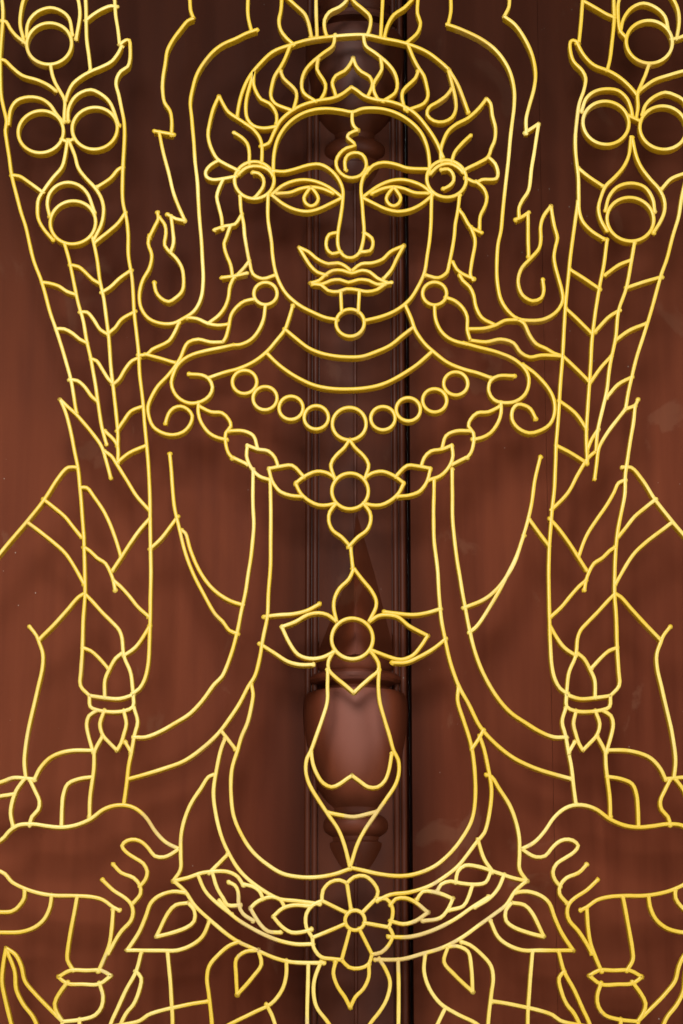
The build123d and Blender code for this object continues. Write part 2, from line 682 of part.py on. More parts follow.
# Feathered plumes behind the figure
plume_outline = [
    [(-276, 1552), (-289, 1610), (-315, 1692), (-339, 1769), (-353, 1829), (-358, 1859), (-362, 1885),
     (-366, 1938), (-370, 2004), (-395, 2110), (-400, 2200), (-383, 2275), (-345, 2335)],
    [(-345, 2335), (-290, 2240), (-256, 2110), (-247, 2000), (-241, 1956)],
    [(-241, 1956), (-231, 1960), (-230, 1938), (-243, 1916), (-238, 1885), (-234, 1841), (-235, 1782),
     (-228, 1745), (-221, 1675), (-213, 1594), (-204, 1515), (-199, 1425), (-198, 1320), (-202, 1280),
     (-214, 1265)],
    [(-293, 1567), (-281, 1532), (-271, 1478), (-265, 1418), (-264, 1310), (-264, 1272), (-256, 1264)],
    [(-271, 1926), (-277, 1980), (-282, 2080), (-310, 2210), (-345, 2335)],
    [(-345, 2335), (-345, rail_above)],
]
plume_feathers = [
    [(-339, 1964), (-337, 1982), (-315, 1997), (-295, 1985), (-291, 1966)],
    [(-342, 1958), (-346, 1990), (-340, 2015), (-314, 2052)],
    [(-286, 1966), (-285, 1985), (-290, 2015), (-314, 2052)],
    [(-369, 1982), (-357, 1974), (-338, 1956)],
    [(-366, 1938), (-342, 1920), (-307, 1903)],
    [(-314, 1932), (-307, 1911), (-297, 1889), (-297, 1869)],
    [(-241, 1953), (-259, 1930), (-287, 1914), (-296, 1893)],
    [(-277, 1983), (-261, 1995), (-247, 2000)],
    [(-357, 1869), (-347, 1892), (-322, 1894), (-298, 1868)],
    [(-293, 1870), (-288, 1894), (-259, 1899), (-240, 1864)],
    [(-299, 1849), (-293, 1846), (-287, 1849)],
    [(-293, 1848), (-303, 1811), (-321, 1783), (-321, 1762), (-305, 1738)],
    [(-293, 1848), (-277, 1811), (-257, 1785), (-254, 1764), (-263, 1738)],
    [(-350, 1809), (-333, 1802), (-317, 1790)],
    [(-235, 1818), (-247, 1806), (-262, 1797)],
    [(-308, 1768), (-310, 1789), (-291, 1801), (-271, 1789), (-264, 1768)],
    [(-232, 1768), (-247, 1748), (-262, 1735)],
    [(-293, 1735), (-277, 1669), (-263, 1610), (-250, 1538), (-245, 1516)],
    [(-265, 1740), (-251, 1673), (-242, 1597), (-234, 1532), (-234, 1500)],
    [(-287, 1711), (-270, 1702), (-257, 1691)],
    [(-315, 1692), (-298, 1688), (-281, 1679)],
    [(-253, 1681), (-236, 1696), (-224, 1706)],
    [(-275, 1660), (-261, 1652), (-247, 1636)],
    [(-299, 1642), (-282, 1637), (-268, 1627)],
    [(-245, 1637), (-233, 1652), (-219, 1661)],
    [(-263, 1610), (-251, 1599), (-240, 1584)],
    [(-284, 1588), (-268, 1580), (-256, 1565)],
    [(-239, 1583), (-228, 1599), (-214, 1611)],
    [(-234, 1534), (-221, 1555), (-209, 1560)],
    [(-233, 1503), (-222, 1511), (-205, 1519)],
    [(-293, 1567), (-268, 1542), (-250, 1518), (-240, 1485)],
    [(-247, 1513), (-234, 1500), (-214, 1467), (-201, 1452)],
    [(-270, 1475), (-256, 1465), (-239, 1436), (-228, 1404)],
    [(-199, 1443), (-219, 1418), (-228, 1404), (-236, 1390)],
    [(-265, 1414), (-243, 1397), (-233, 1370)],
    [(-236, 1380), (-219, 1364), (-198, 1343)],
    [(-198, 1335), (-204, 1323), (-223, 1307)],
    [(-264, 1366), (-236, 1338), (-224, 1310), (-213, 1276), (-214, 1265)],
    [(-264, 1312), (-249, 1303), (-238, 1291)],
    [(-225, 1306), (-237, 1290), (-241, 1262)],
]
plume_rings = [(-315, 1956, 23.5), (-321, 1857, 23.5), (-265, 1861, 23.5), (-285, 1757, 23.5)]

# Staff below each plume, with its binding and petals
staff = [
    [(-256, 1264), (-235, 1261), (-213, 1266)],
    [(-256, 1264), (-249, 1250), (-221, 1249), (-213, 1266)],
    [(-249, 1250), (-258, 1236), (-250, 1209)],
    [(-241, 1249), (-242, 1225), (-228, 1210)],
    [(-222, 1249), (-221, 1227), (-228, 1210)],
    [(-213, 1256), (-209, 1236), (-214, 1206)],
    [(-228, 1210), (-214, 1206)],
    [(-242, 1225), (-250, 1209)],
    [(-250, 1209), (-250, 1192), (-253, 1145)],
    [(-214, 1206), (-220, 1156)],
    [(-251, 1184), (-275, 1177), (-280, 1136)],
]

# Cloth and scroll on each shoulder
shoulder = [
    [(-166, 1656), (-145, 1648), (-125, 1647)],
    [(-174, 1650), (-184, 1629), (-215, 1614)],
    [(-206, 1615), (-193, 1611), (-177, 1608)],
    [(-119, 1698), (-124, 1675), (-133, 1657), (-144, 1648)],
    [(-129, 1628), (-154, 1631), (-168, 1622), (-185, 1592), (-204, 1559), (-189, 1532), (-161, 1541),
     (-164, 1557), (-183, 1552), (-186, 1542)],
    [(-118, 1625), (-145, 1619), (-175, 1603), (-178, 1575), (-150, 1565), (-139, 1580), (-150, 1593),
     (-163, 1594)],
]

# Straps over the chest that run down round the belly
strap = [
    [(-184, 1532), (-178, 1478), (-164, 1408), (-145, 1366), (-126, 1338), (-110, 1326)],
    [(-168, 1431), (-159, 1411), (-142, 1378), (-106, 1355)],
    [(-173, 1445), (-189, 1422), (-199, 1412)],
    [(-97, 1497), (-96, 1436), (-104, 1366), (-117, 1306), (-145, 1259), (-171, 1237), (-210, 1223)],
    [(-80, 1484), (-79, 1394), (-86, 1320), (-100, 1273), (-128, 1228), (-161, 1200), (-216, 1182)],
    [(-98, 1276), (-97, 1252), (-110, 1210), (-116, 1169), (-105, 1127), (-80, 1099), (-49, 1087), (0, 1094)],
    [(-126, 1231), (-122, 1215), (-131, 1180), (-129, 1135), (-108, 1095), (-68, 1066), (-30, 1063)],
]

# Chest ornament and the cloth that hangs from it
chest_ornament = [
    [(0, 1392), (-10, 1372), (-16, 1355), (-13, 1338)],
    [(-13, 1338), (-31, 1347), (-67, 1333)],
    [(-67, 1333), (-51, 1305), (-28, 1302), (-16, 1309)],
    [(-84, 1344), (-56, 1346), (-30, 1356)],
    [(-88, 1315), (-61, 1298), (-36, 1295)],
    [(-16, 1309), (-21, 1292), (-5, 1275), (0, 1267)],
    [(-21, 1290), (-22, 1259), (-33, 1224), (-43, 1202), (-42, 1182), (-21, 1147), (-6, 1120), (0, 1094)],
    [(-38, 1212), (-36, 1197), (-18, 1174), (0, 1185)],
]
ornament_middle = [
    [(0, 1414), (0, 1392)],
    [(-20, 1148), (0, 1145), (20, 1148)],
]
ornament_ring = [(0, 1321, 20.4)]

# Belt bands and links, with a seven-petalled flower at the middle
belt_half = [
    [(-171, 1083), (-142, 1091), (-118, 1092), (-103, 1079)],
    [(-118, 1109), (-135, 1091)],
    [(-169, 1083), (-150, 1060), (-118, 1032), (-73, 1010), (-20, 1008)],
    [(-126, 1064), (-103, 1043), (-70, 1027), (-36, 1023)],
    [(-147, 1089), (-131, 1064), (-114, 1051)],
    [(-133, 1091), (-122, 1066), (-107, 1062)],
    [(-117, 1090), (-107, 1064), (-93, 1047)],
    [(-103, 1080), (-84, 1066)],
    [(-96, 1057), (-84, 1066), (-63, 1058)],
    [(-96, 1057), (-86, 1041), (-66, 1034)],
    [(-74, 1049), (-54, 1060), (-38, 1058)],
    [(-74, 1049), (-56, 1034), (-38, 1036)],
    [(-14, 1008), (-16, 995), (-5, 973), (0, 962)],
]
flower = [
    [(-27, 1064), (-19, 1082), (-3, 1081)],
    [(-3, 1081), (14, 1088), (25, 1066)],
    [(25, 1066), (40, 1057), (37, 1039)],
    [(37, 1039), (37, 1022), (21, 1013)],
    [(21, 1013), (9, 1000), (-8, 1008)],
    [(-8, 1008), (-28, 1011), (-36, 1029)],
    [(-36, 1029), (-42, 1046), (-27, 1064)],
    [(-3, 1081), (2, 1055)],
    [(25, 1066), (11, 1052)],
    [(37, 1039), (13, 1044)],
    [(21, 1013), (8, 1038)],
    [(-8, 1008), (0, 1038)],
    [(-36, 1029), (-5, 1043)],
    [(-27, 1064), (-3, 1052)],
]
flower_ring = [(4, 1046, 9.5)]

# Arms, from the shoulder round the elbow to the hand
arm = [
    [(-274, 1496), (-294, 1483), (-322, 1441), (-400, 1335), (-446, 1262), (-452, 1200), (-436, 1130),
     (-400, 1078), (-358, 1057), (-326, 1054), (-317, 1064), (-314, 1075)],
    [(-308, 1463), (-285, 1445), (-269, 1424)],
    [(-323, 1439), (-296, 1419), (-275, 1395), (-265, 1376)],
    [(-317, 1333), (-303, 1306), (-307, 1271), (-317, 1224), (-316, 1182)],
    [(-307, 1318), (-280, 1350), (-264, 1366)],
    [(-449, 1176), (-390, 1174), (-340, 1179), (-308, 1182)],
    [(-446, 1157), (-390, 1158), (-327, 1167)],
    [(-318, 1181), (-329, 1159), (-327, 1136)],
    [(-312, 1181), (-302, 1158), (-310, 1137)],
    [(-308, 1182), (-294, 1202), (-251, 1209)],
    [(-434, 1126), (-380, 1110), (-338, 1123), (-322, 1137), (-280, 1135), (-240, 1152), (-207, 1152),
     (-178, 1120), (-166, 1114)],
    [(-166, 1114), (-180, 1106), (-201, 1120), (-221, 1117), (-200, 1100), (-198, 1084), (-205, 1078)],
    [(-229, 1099), (-209, 1086), (-202, 1071), (-212, 1062)],
    [(-239, 1084), (-217, 1067), (-210, 1047), (-225, 1027), (-232, 1014)],
    [(-407, 1085), (-337, 1092), (-312, 1075), (-266, 1069), (-238, 1065), (-223, 1055)],
    [(-288, 1069), (-294, 1047), (-326, 1034), (-370, 1040), (-400, 1078)],
]

# Clubs that the hands rest on, standing on the bottom rail
club = [
    [(-228, 1058), (-231, 1023), (-242, 997)],
    [(-263, 1068), (-271, 1016), (-264, 996)],
    [(-279, 992), (-252, 998), (-229, 993)],
    [(-279, 992), (-256, 985), (-229, 993)],
    [(-270, 990), (-282, 964), (-274, 951)],
    [(-240, 990), (-237, 964), (-256, 951), (-274, 951)],
    [(-274, 951), (-283, 870), (-285, 500), (-281, 190)],
    [(-281, 190), (-281, pattern_base)],
    [(-258, 951), (-254, 870), (-254, 500), (-256, 190)],
    [(-256, 190), (-256, pattern_base)],
    [(-330, 1019), (-332, 988), (-323, 948), (-303, 890), (-284, 850)],
    [(-330, 1019), (-311, 988), (-274, 951)],
    [(-330, 1019), (-319, 980), (-301, 952), (-290, 920)],
]

# Side panels of the robe
skirt = [
    [(-133, 1187), (-145, 1173), (-161, 1141), (-164, 1108), (-171, 1083)],
    [(-159, 1071), (-184, 1069), (-203, 1034), (-214, 1017)],
    [(-214, 1017), (-182, 1016), (-152, 1022), (-135, 1046)],
    [(-156, 1062), (-175, 1053), (-186, 1030)],
    [(-186, 1030), (-157, 1039), (-156, 1062)],
    [(-175, 1016), (-171, 976), (-169, 940), (-180, 700), (-198, 400), (-203, 190)],
    [(-203, 190), (-203, pattern_base)],
    [(-201, 1016), (-214, 980), (-229, 945), (-238, 880), (-240, 700)],
    [(-240, 700), (-240, pattern_base)],
    [(-205, 1005), (-202, 978), (-221, 950), (-235, 905)],
    [(-229, 945), (-200, 951), (-164, 964), (-136, 969)],
]

# Front panel of the robe
skirt_front = [
    [(-26, 1008), (-35, 978), (-21, 949), (0, 915)],
    [(-41, 1006), (-41, pattern_base)],
    [(-61, 1010), (-63, 985), (-91, 959), (-131, 938)],
    [(-80, 966), (-72, 949), (-60, 915), (-41, 890)],
    [(-88, 1016), (-86, 1002), (-108, 975)],
    [(-108, 975), (-110, 1009), (-96, 1018)],
    [(-107, 1026), (-126, 1013), (-137, 990), (-131, 938), (-140, 700), (-158, 400), (-165, 190)],
    [(-165, 190), (-165, pattern_base)],
]

for side, hand, stile_face in ((left, "left", left_stile_face), (right, "right", right_stile_face)):
    elbow_tie = [[(-452, 1210), (stile_face, 1210)]]
    weld(f"{hand}_plume", (plume_outline + plume_feathers, plume_rings, side))
    weld(f"{hand}_staff", (staff, [], side))
    weld(f"{hand}_streamer", (streamer, [], side))
    weld(f"{hand}_ear_ornament", (ear_ornament, pendant_ring, side))
    weld(f"{hand}_shoulder", (shoulder, [], side))
    weld(f"{hand}_arm", (arm + elbow_tie, [], side))
    weld(f"{hand}_club", (club, [], side))
weld("collar", (neck_side, side_beads, left), (neck_side, side_beads, right), (collar_rings, middle_bead, left))
weld("leaf_necklace", (leaf_necklace, [], left), (leaf_necklace, [], right), ([], necklace_ring, left))
weld("left_strap", (strap, [], left))
weld("right_strap", (strap, [], right))
weld("chest_ornament", (chest_ornament, [], left), (chest_ornament, [], right),
     (ornament_middle, ornament_ring, left))
weld("belt", (belt_half, [], left), (belt_half, [], right), (flower, flower_ring, left))
weld("left_skirt", (skirt, [], left))
weld("right_skirt", (skirt, [], right))
weld("skirt_front", (skirt_front, [], left), (skirt_front, [], right))
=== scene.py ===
import json
import math
import bpy
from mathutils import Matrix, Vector, noise


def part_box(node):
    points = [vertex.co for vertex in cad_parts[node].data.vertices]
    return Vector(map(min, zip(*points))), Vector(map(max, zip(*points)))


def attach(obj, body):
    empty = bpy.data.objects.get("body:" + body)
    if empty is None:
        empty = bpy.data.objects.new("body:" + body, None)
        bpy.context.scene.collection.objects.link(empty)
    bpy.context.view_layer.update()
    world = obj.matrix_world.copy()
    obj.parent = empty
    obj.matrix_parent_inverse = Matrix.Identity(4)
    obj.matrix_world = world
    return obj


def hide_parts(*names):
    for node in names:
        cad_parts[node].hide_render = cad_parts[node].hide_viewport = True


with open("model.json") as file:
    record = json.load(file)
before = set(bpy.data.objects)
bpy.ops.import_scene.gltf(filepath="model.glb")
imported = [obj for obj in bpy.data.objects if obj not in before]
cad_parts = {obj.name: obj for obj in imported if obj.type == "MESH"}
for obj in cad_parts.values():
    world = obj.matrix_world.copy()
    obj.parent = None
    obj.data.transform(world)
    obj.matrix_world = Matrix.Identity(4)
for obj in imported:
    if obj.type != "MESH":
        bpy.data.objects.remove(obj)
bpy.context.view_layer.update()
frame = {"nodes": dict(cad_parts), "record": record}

mm = 0.001
nodes = frame["nodes"]
scene = bpy.context.scene

# mesh helpers


def makeObject(name, verts, faces, smooth=True):
    mesh = bpy.data.meshes.new(name)
    mesh.from_pydata(verts, [], faces)
    mesh.update()
    if smooth:
        mesh.polygons.foreach_set("use_smooth", [True] * len(mesh.polygons))
    piece = bpy.data.objects.new(name, mesh)
    scene.collection.objects.link(piece)
    return piece


def shadeByAngle(piece, degrees):
    piece.data.set_sharp_from_angle(angle=math.radians(degrees))


edgeLook = {"segments": 2, "sharpest": 35}


def addEdgeRounding(piece, width, look):
    rounding = piece.modifiers.new("softEdges", "BEVEL")
    rounding.width = width
    rounding.segments = look["segments"]
    rounding.limit_method = "ANGLE"
    rounding.angle_limit = math.radians(look["sharpest"])
    rounding.harden_normals = True


# shader helpers


def newGroup(name, inputs, outputs):
    group = bpy.data.node_groups.new(name, "ShaderNodeTree")
    for label, kind, value in inputs:
        socket = group.interface.new_socket(name=label, in_out="INPUT", socket_type=kind)
        socket.default_value = value
    for label, kind in outputs:
        group.interface.new_socket(name=label, in_out="OUTPUT", socket_type=kind)
    return group, group.nodes.new("NodeGroupInput"), group.nodes.new("NodeGroupOutput")


def noiseNode(tree, scale, detail, vector=None, distortion=0.0):
    node = tree.nodes.new("ShaderNodeTexNoise")
    node.inputs["Scale"].default_value = scale
    node.inputs["Detail"].default_value = detail
    node.inputs["Distortion"].default_value = distortion
    if vector is not None:
        tree.links.new(vector, node.inputs["Vector"])
    return node


def rampNode(tree, source, low, high):
    node = tree.nodes.new("ShaderNodeMapRange")
    node.interpolation_type = "SMOOTHSTEP"
    node.inputs["From Min"].default_value = low
    node.inputs["From Max"].default_value = high
    tree.links.new(source, node.inputs["Value"])
    return node.outputs["Result"]


def mathNode(tree, operation, first, second):
    node = tree.nodes.new("ShaderNodeMath")
    node.operation = operation
    for socket, value in zip(node.inputs, (first, second)):
        if isinstance(value, (int, float)):
            socket.default_value = value
        else:
            tree.links.new(value, socket)
    return node.outputs[0]


# where a mix node that is set to colour keeps its factor, its two colours and its result
mixFactor = 0
mixColors = (6, 7)
mixResult = 2


def mixNode(tree, factor, first, second):
    node = tree.nodes.new("ShaderNodeMix")
    node.data_type = "RGBA"
    sockets = [node.inputs[place] for place in (mixFactor, *mixColors)]
    for socket, value in zip(sockets, (factor, first, second)):
        if isinstance(value, (int, float)):
            socket.default_value = value
        elif isinstance(value, tuple):
            socket.default_value = (*value, 1.0)
        else:
            tree.links.new(value, socket)
    return node.outputs[mixResult]


even = (1.0, 1.0, 1.0)


def stretched(tree, scale):
    place = tree.nodes.new("ShaderNodeTexCoord")
    mapping = tree.nodes.new("ShaderNodeMapping")
    mapping.inputs["Scale"].default_value = scale
    tree.links.new(place.outputs["Object"], mapping.inputs["Vector"])
    return mapping.outputs["Vector"]


mottleLook = {
    "cloudScale": 3.0, "cloudDetail": 5.0, "cloudStretch": (1.0, 1.0, 0.6), "cloudWarp": 0.6,
    "brushAmount": 0.3, "brushScale": 60.0, "brushDetail": 3.0, "brushStretch": (1.0, 1.0, 0.06),
    "brushMiddle": 0.15, "gritScale": 220.0, "gritDetail": 4.0, "gritShare": 0.35,
}


# uneven tone of old brushed paint: broad clouds, brush marks along Z and fine mottling
def buildPaintMottle(look):
    group, given, result = newGroup(
        "paintMottle",
        [("Cloud Scale", "NodeSocketFloat", look["cloudScale"]),
         ("Brush Amount", "NodeSocketFloat", look["brushAmount"]),
         ("Grit Scale", "NodeSocketFloat", look["gritScale"])],
        [("Tone", "NodeSocketFloat"), ("Relief", "NodeSocketFloat")])
    wide = stretched(group, look["cloudStretch"])
    clouds = noiseNode(group, look["cloudScale"], look["cloudDetail"], wide, look["cloudWarp"])
    group.links.new(given.outputs["Cloud Scale"], clouds.inputs["Scale"])
    tall = stretched(group, look["brushStretch"])
    brush = noiseNode(group, look["brushScale"], look["brushDetail"], tall)
    grit = noiseNode(group, look["gritScale"], look["gritDetail"], stretched(group, even))
    group.links.new(given.outputs["Grit Scale"], grit.inputs["Scale"])
    brushed = mathNode(group, "MULTIPLY", brush.outputs[0], given.outputs["Brush Amount"])
    lifted = mathNode(group, "SUBTRACT", brushed, look["brushMiddle"])
    tone = mathNode(group, "ADD", clouds.outputs[0], lifted)
    group.links.new(tone, result.inputs["Tone"])
    fine = mathNode(group, "MULTIPLY", grit.outputs[0], look["gritShare"])
    group.links.new(mathNode(group, "ADD", fine, brush.outputs[0]), result.inputs["Relief"])
    return group


specksLook = {
    "speckScale": 90.0, "speckSize": 0.07, "speckStretch": (1.0, 1.0, 0.8),
    "sparseScale": 7.0, "sparseDetail": 3.0, "sparseFrom": 0.56, "sparseTo": 0.62,
    "rubThreshold": 0.66, "rubScale": 16.0, "rubDetail": 6.0, "rubStretch": (1.0, 1.0, 0.7),
    "rubWarp": 0.8, "rubEdge": 0.05,
}


# pale specks and rubbed places
def buildSpecks(look):
    group, given, result = newGroup(
        "specksAndRubs",
        [("Speck Scale", "NodeSocketFloat", look["speckScale"]),
         ("Speck Size", "NodeSocketFloat", look["speckSize"]),
         ("Rub Threshold", "NodeSocketFloat", look["rubThreshold"])],
        [("Specks", "NodeSocketFloat"), ("Rubs", "NodeSocketFloat")])
    cells = group.nodes.new("ShaderNodeTexVoronoi")
    group.links.new(stretched(group, look["speckStretch"]), cells.inputs["Vector"])
    group.links.new(given.outputs["Speck Scale"], cells.inputs["Scale"])
    near = mathNode(group, "LESS_THAN", cells.outputs["Distance"], given.outputs["Speck Size"])
    sparse = noiseNode(group, look["sparseScale"], look["sparseDetail"], stretched(group, even))
    few = rampNode(group, sparse.outputs[0], look["sparseFrom"], look["sparseTo"])
    group.links.new(mathNode(group, "MULTIPLY", near, few), result.inputs["Specks"])
    spread = stretched(group, look["rubStretch"])
    patches = noiseNode(group, look["rubScale"], look["rubDetail"], spread, look["rubWarp"])
    over = mathNode(group, "SUBTRACT", patches.outputs[0], given.outputs["Rub Threshold"])
    group.links.new(rampNode(group, over, 0.0, look["rubEdge"]), result.inputs["Rubs"])
    return group


paintMottle = buildPaintMottle(mottleLook)
specksAndRubs = buildSpecks(specksLook)


def placeGroup(tree, group, **values):
    node = tree.nodes.new("ShaderNodeGroup")
    node.node_tree = group
    for label, value in values.items():
        node.inputs[label.replace("_", " ")].default_value = value
    return node


def newMaterial(name, roughness, metallic=0.0):
    material = bpy.data.materials.new(name)
    material.use_nodes = True
    tree = material.node_tree
    shader = tree.nodes["Principled BSDF"]
    shader.inputs["Roughness"].default_value = roughness
    shader.inputs["Metallic"].default_value = metallic
    return material, tree, shader


def addBump(tree, shader, height, look):
    bump = tree.nodes.new("ShaderNodeBump")
    bump.inputs["Strength"].default_value, bump.inputs["Distance"].default_value = look["bump"]
    tree.links.new(height, bump.inputs["Height"])
    tree.links.new(bump.outputs["Normal"], shader.inputs["Normal"])


# the two shared groups, set for one paint by its settings
def addWear(tree, look):
    cloud, brush, grit = look["mottle"]
    scale, size, threshold = look["marks"]
    mottle = placeGroup(tree, paintMottle, Cloud_Scale=cloud, Brush_Amount=brush, Grit_Scale=grit)
    marks = placeGroup(tree, specksAndRubs, Speck_Scale=scale, Speck_Size=size, Rub_Threshold=threshold)
    tone, relief = mottle.outputs
    specks, rubs = marks.outputs
    return tone, relief, specks, rubs


def addSplit(tree, vector):
    split = tree.nodes.new("ShaderNodeSeparateXYZ")
    tree.links.new(vector, split.inputs[0])
    return split.outputs["X"], split.outputs["Y"], split.outputs["Z"]


def splitPlace(tree):
    return addSplit(tree, tree.nodes.new("ShaderNodeTexCoord").outputs["Object"])


# a ramp between two ends, times a share
def shareNode(tree, source, ends, share):
    return mathNode(tree, "MULTIPLY", rampNode(tree, source, *ends), share)


def setRoughness(tree, shader, look, source, share):
    dull = mathNode(tree, "ADD", look["roughness"], mathNode(tree, "MULTIPLY", source, share))
    tree.links.new(dull, shader.inputs["Roughness"])


# mottle: cloud scale, brush amount, grit scale; marks: speck scale, speck size, rub threshold;
# bump: strength and distance; a ramp or a pair of heights, in metres, runs from none to all
goldLook = {
    "front": (0.84, 0.56, 0.040), "worn": (0.94, 0.74, 0.20), "flank": (0.60, 0.36, 0.008),
    "under": (0.55, 0.31, 0.006), "rubbed": (0.60, 0.42, 0.24), "roughness": 0.34,
    "mottle": (9.0, 0.2, 420.0), "marks": (160.0, 0.1, 0.60), "toneRamp": (0.38, 0.62),
    "underRamp": (0.1, 0.8), "outwardRamp": (0.35, 0.85), "upwardRamp": (0.3, 0.95), "upwardShare": 0.7,
    "rubHeights": (0.95, 1.25), "rubEverywhere": 0.12, "rubMost": 0.42, "rubDull": 0.3,
    "bump": (0.35, 0.0006),
}


# painted light and shade: faces that look out or up are painted bright as if lit, flanks and undersides
# deeper as painted shade; paint rubbed low down
def makeGoldPaint(look):
    material, tree, shader = newMaterial("goldPaint", look["roughness"])
    tone, relief, _, rubs = addWear(tree, look)
    geometry = tree.nodes.new("ShaderNodeNewGeometry")
    _, outNormal, upNormal = addSplit(tree, geometry.outputs["Normal"])
    # painted shade: flanks and undersides get the deeper gold
    under = rampNode(tree, mathNode(tree, "MULTIPLY", upNormal, -1.0), *look["underRamp"])
    flank = mixNode(tree, under, look["flank"], look["under"])
    front = mixNode(tree, rampNode(tree, tone, *look["toneRamp"]), look["front"], look["worn"])
    litOutward = rampNode(tree, mathNode(tree, "ABSOLUTE", outNormal, 0.0), *look["outwardRamp"])
    litUpward = shareNode(tree, upNormal, look["upwardRamp"], look["upwardShare"])
    # painted highlight: faces that look out or up get the bright front gold
    color = mixNode(tree, mathNode(tree, "MAXIMUM", litOutward, litUpward), flank, front)
    height = splitPlace(tree)[2]
    low = mathNode(tree, "SUBTRACT", 1.0, rampNode(tree, height, *look["rubHeights"]))
    worn = mathNode(tree, "MULTIPLY", rubs, mathNode(tree, "ADD", look["rubEverywhere"], low))
    worn = mathNode(tree, "MINIMUM", worn, look["rubMost"])
    color = mixNode(tree, worn, color, look["rubbed"])
    tree.links.new(color, shader.inputs["Base Color"])
    setRoughness(tree, shader, look, worn, look["rubDull"])
    addBump(tree, shader, relief, look)
    return material


# only carved paint has a recess share, which darkens its deep places with painted shade and dirt and lays a
# painted highlight on the raised ones
leafLook = {
    "body": (0.148, 0.033, 0.013), "pale": (0.235, 0.062, 0.028), "deep": (0.074, 0.014, 0.006),
    "speck": (0.45, 0.38, 0.33), "smudge": (0.27, 0.13, 0.075), "grimeAndShade": (0.018, 0.005, 0.002),
    "raisedSheen": (0.32, 0.125, 0.095), "roughness": 0.42, "toneDull": 0.12, "shine": 0.03,
    "mottle": (2.2, 0.35, 260.0), "marks": (75.0, 0.045, 0.64), "toneRamp": (0.30, 0.80),
    "bodyShare": 0.4, "smudgeShare": 0.2, "speckShare": 0.8,
    "darkTopHeights": (1.42, 2.0), "darkTopShare": 0.8, "duskHeights": (1.12, 0.75), "duskShare": 0.35,
    "besideRamp": (0.105, 0.055), "besideCarving": 0.55,
    "recessShadeAndDirt": 0.0, "recessRamp": (-0.041, -0.020), "raisedSheenRamp": (-0.034, -0.047), "raisedSheenShare": 0.6,
    "bump": (0.25, 0.0008),
}
frameLook = leafLook | {"body": (0.125, 0.030, 0.011), "mottle": (3.0, 0.35, 260.0)}
carvedLook = leafLook | {
    "shine": 0.16, "besideCarving": 0.1, "recessShadeAndDirt": 0.55, "mottle": (5.0, 0.35, 260.0),
}


# darker towards the top and towards the bottom, painted shade beside the carving, painted shade and dirt in
# its recesses
def makeLeafPaint(name, look):
    material, tree, shader = newMaterial(name, look["roughness"])
    tone, relief, specks, rubs = addWear(tree, look)
    tone = rampNode(tree, tone, *look["toneRamp"])
    color = mixNode(tree, tone, look["deep"], look["pale"])
    color = mixNode(tree, look["bodyShare"], color, look["body"])
    color = mixNode(tree, mathNode(tree, "MULTIPLY", rubs, look["smudgeShare"]), color, look["smudge"])
    color = mixNode(tree, mathNode(tree, "MULTIPLY", specks, look["speckShare"]), color, look["speck"])
    across, depth, height = splitPlace(tree)
    darkTop = shareNode(tree, height, look["darkTopHeights"], look["darkTopShare"])
    dusky = shareNode(tree, height, look["duskHeights"], look["duskShare"])
    # painted shade on the leaves beside the astragal
    aside = mathNode(tree, "ABSOLUTE", across, 0.0)
    inShade = shareNode(tree, aside, look["besideRamp"], look["besideCarving"])
    dirtAndShade = mathNode(tree, "MAXIMUM", mathNode(tree, "MAXIMUM", darkTop, dusky), inShade)
    if look["recessShadeAndDirt"]:
        # painted highlight on the raised carving
        raised = shareNode(tree, depth, look["raisedSheenRamp"], look["raisedSheenShare"])
        color = mixNode(tree, raised, color, look["raisedSheen"])
        # painted shade and dirt in the carving's deep places
        dirtAndShade = mathNode(tree, "MAXIMUM", dirtAndShade, shareNode(tree, depth, look["recessRamp"], look["recessShadeAndDirt"]))
    # one dark colour lays both the dirt and the painted shade
    color = mixNode(tree, dirtAndShade, color, look["grimeAndShade"])
    tree.links.new(color, shader.inputs["Base Color"])
    setRoughness(tree, shader, look, tone, look["toneDull"])
    shader.inputs["Specular IOR Level"].default_value = look["shine"]
    addBump(tree, shader, relief, look)
    return material


ironLook = {
    "body": (0.035, 0.030, 0.028), "rust": (0.13, 0.055, 0.028), "roughness": 0.5, "metallic": 0.6,
    "mottle": (14.0, 0.1, 500.0), "marks": (200.0, 0.1, 0.58), "toneRamp": (0.4, 0.75), "rubShare": 0.4,
    "bump": (0.3, 0.0005),
}


def makeDarkIron(look):
    material, tree, shader = newMaterial("darkIron", look["roughness"], look["metallic"])
    tone, relief, _, rubs = addWear(tree, look)
    color = mixNode(tree, rampNode(tree, tone, *look["toneRamp"]), look["body"], look["rust"])
    color = mixNode(tree, mathNode(tree, "MULTIPLY", rubs, look["rubShare"]), color, look["rust"])
    tree.links.new(color, shader.inputs["Base Color"])
    addBump(tree, shader, relief, look)
    return material


goldPaint = makeGoldPaint(goldLook)
leafPaint = makeLeafPaint("maroonLeafPaint", leafLook)
framePaint = makeLeafPaint("maroonFramePaint", frameLook)
carvedPaint = makeLeafPaint("maroonCarvedPaint", carvedLook)
darkIron = makeDarkIron(ironLook)
print("materials made")

# construction nodes keep their own meshes

slotLooks = {
    "gold_paint": (goldPaint, 1.2 * mm),
    "leaf_wood": (leafPaint, 0.0),
    "frame_wood": (framePaint, 3.0 * mm),
    "dark_iron": (darkIron, 0.5 * mm),
}
for entry in frame["record"]["subparts"]:
    piece = nodes[entry["node"]]
    paint, rounded = slotLooks[entry["material_slot"]]
    piece.data.materials.clear()
    piece.data.materials.append(paint)
    if rounded:
        addEdgeRounding(piece, rounded, edgeLook)
print("construction dressed")

# figure bars

# lists hold points in mm, across from the figure's middle line and up from the floor
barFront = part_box("left_plume")[0].y
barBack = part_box("left_plume")[1].y
figureMiddle = -6 * mm
railAbove = 2367
patternBase = 131
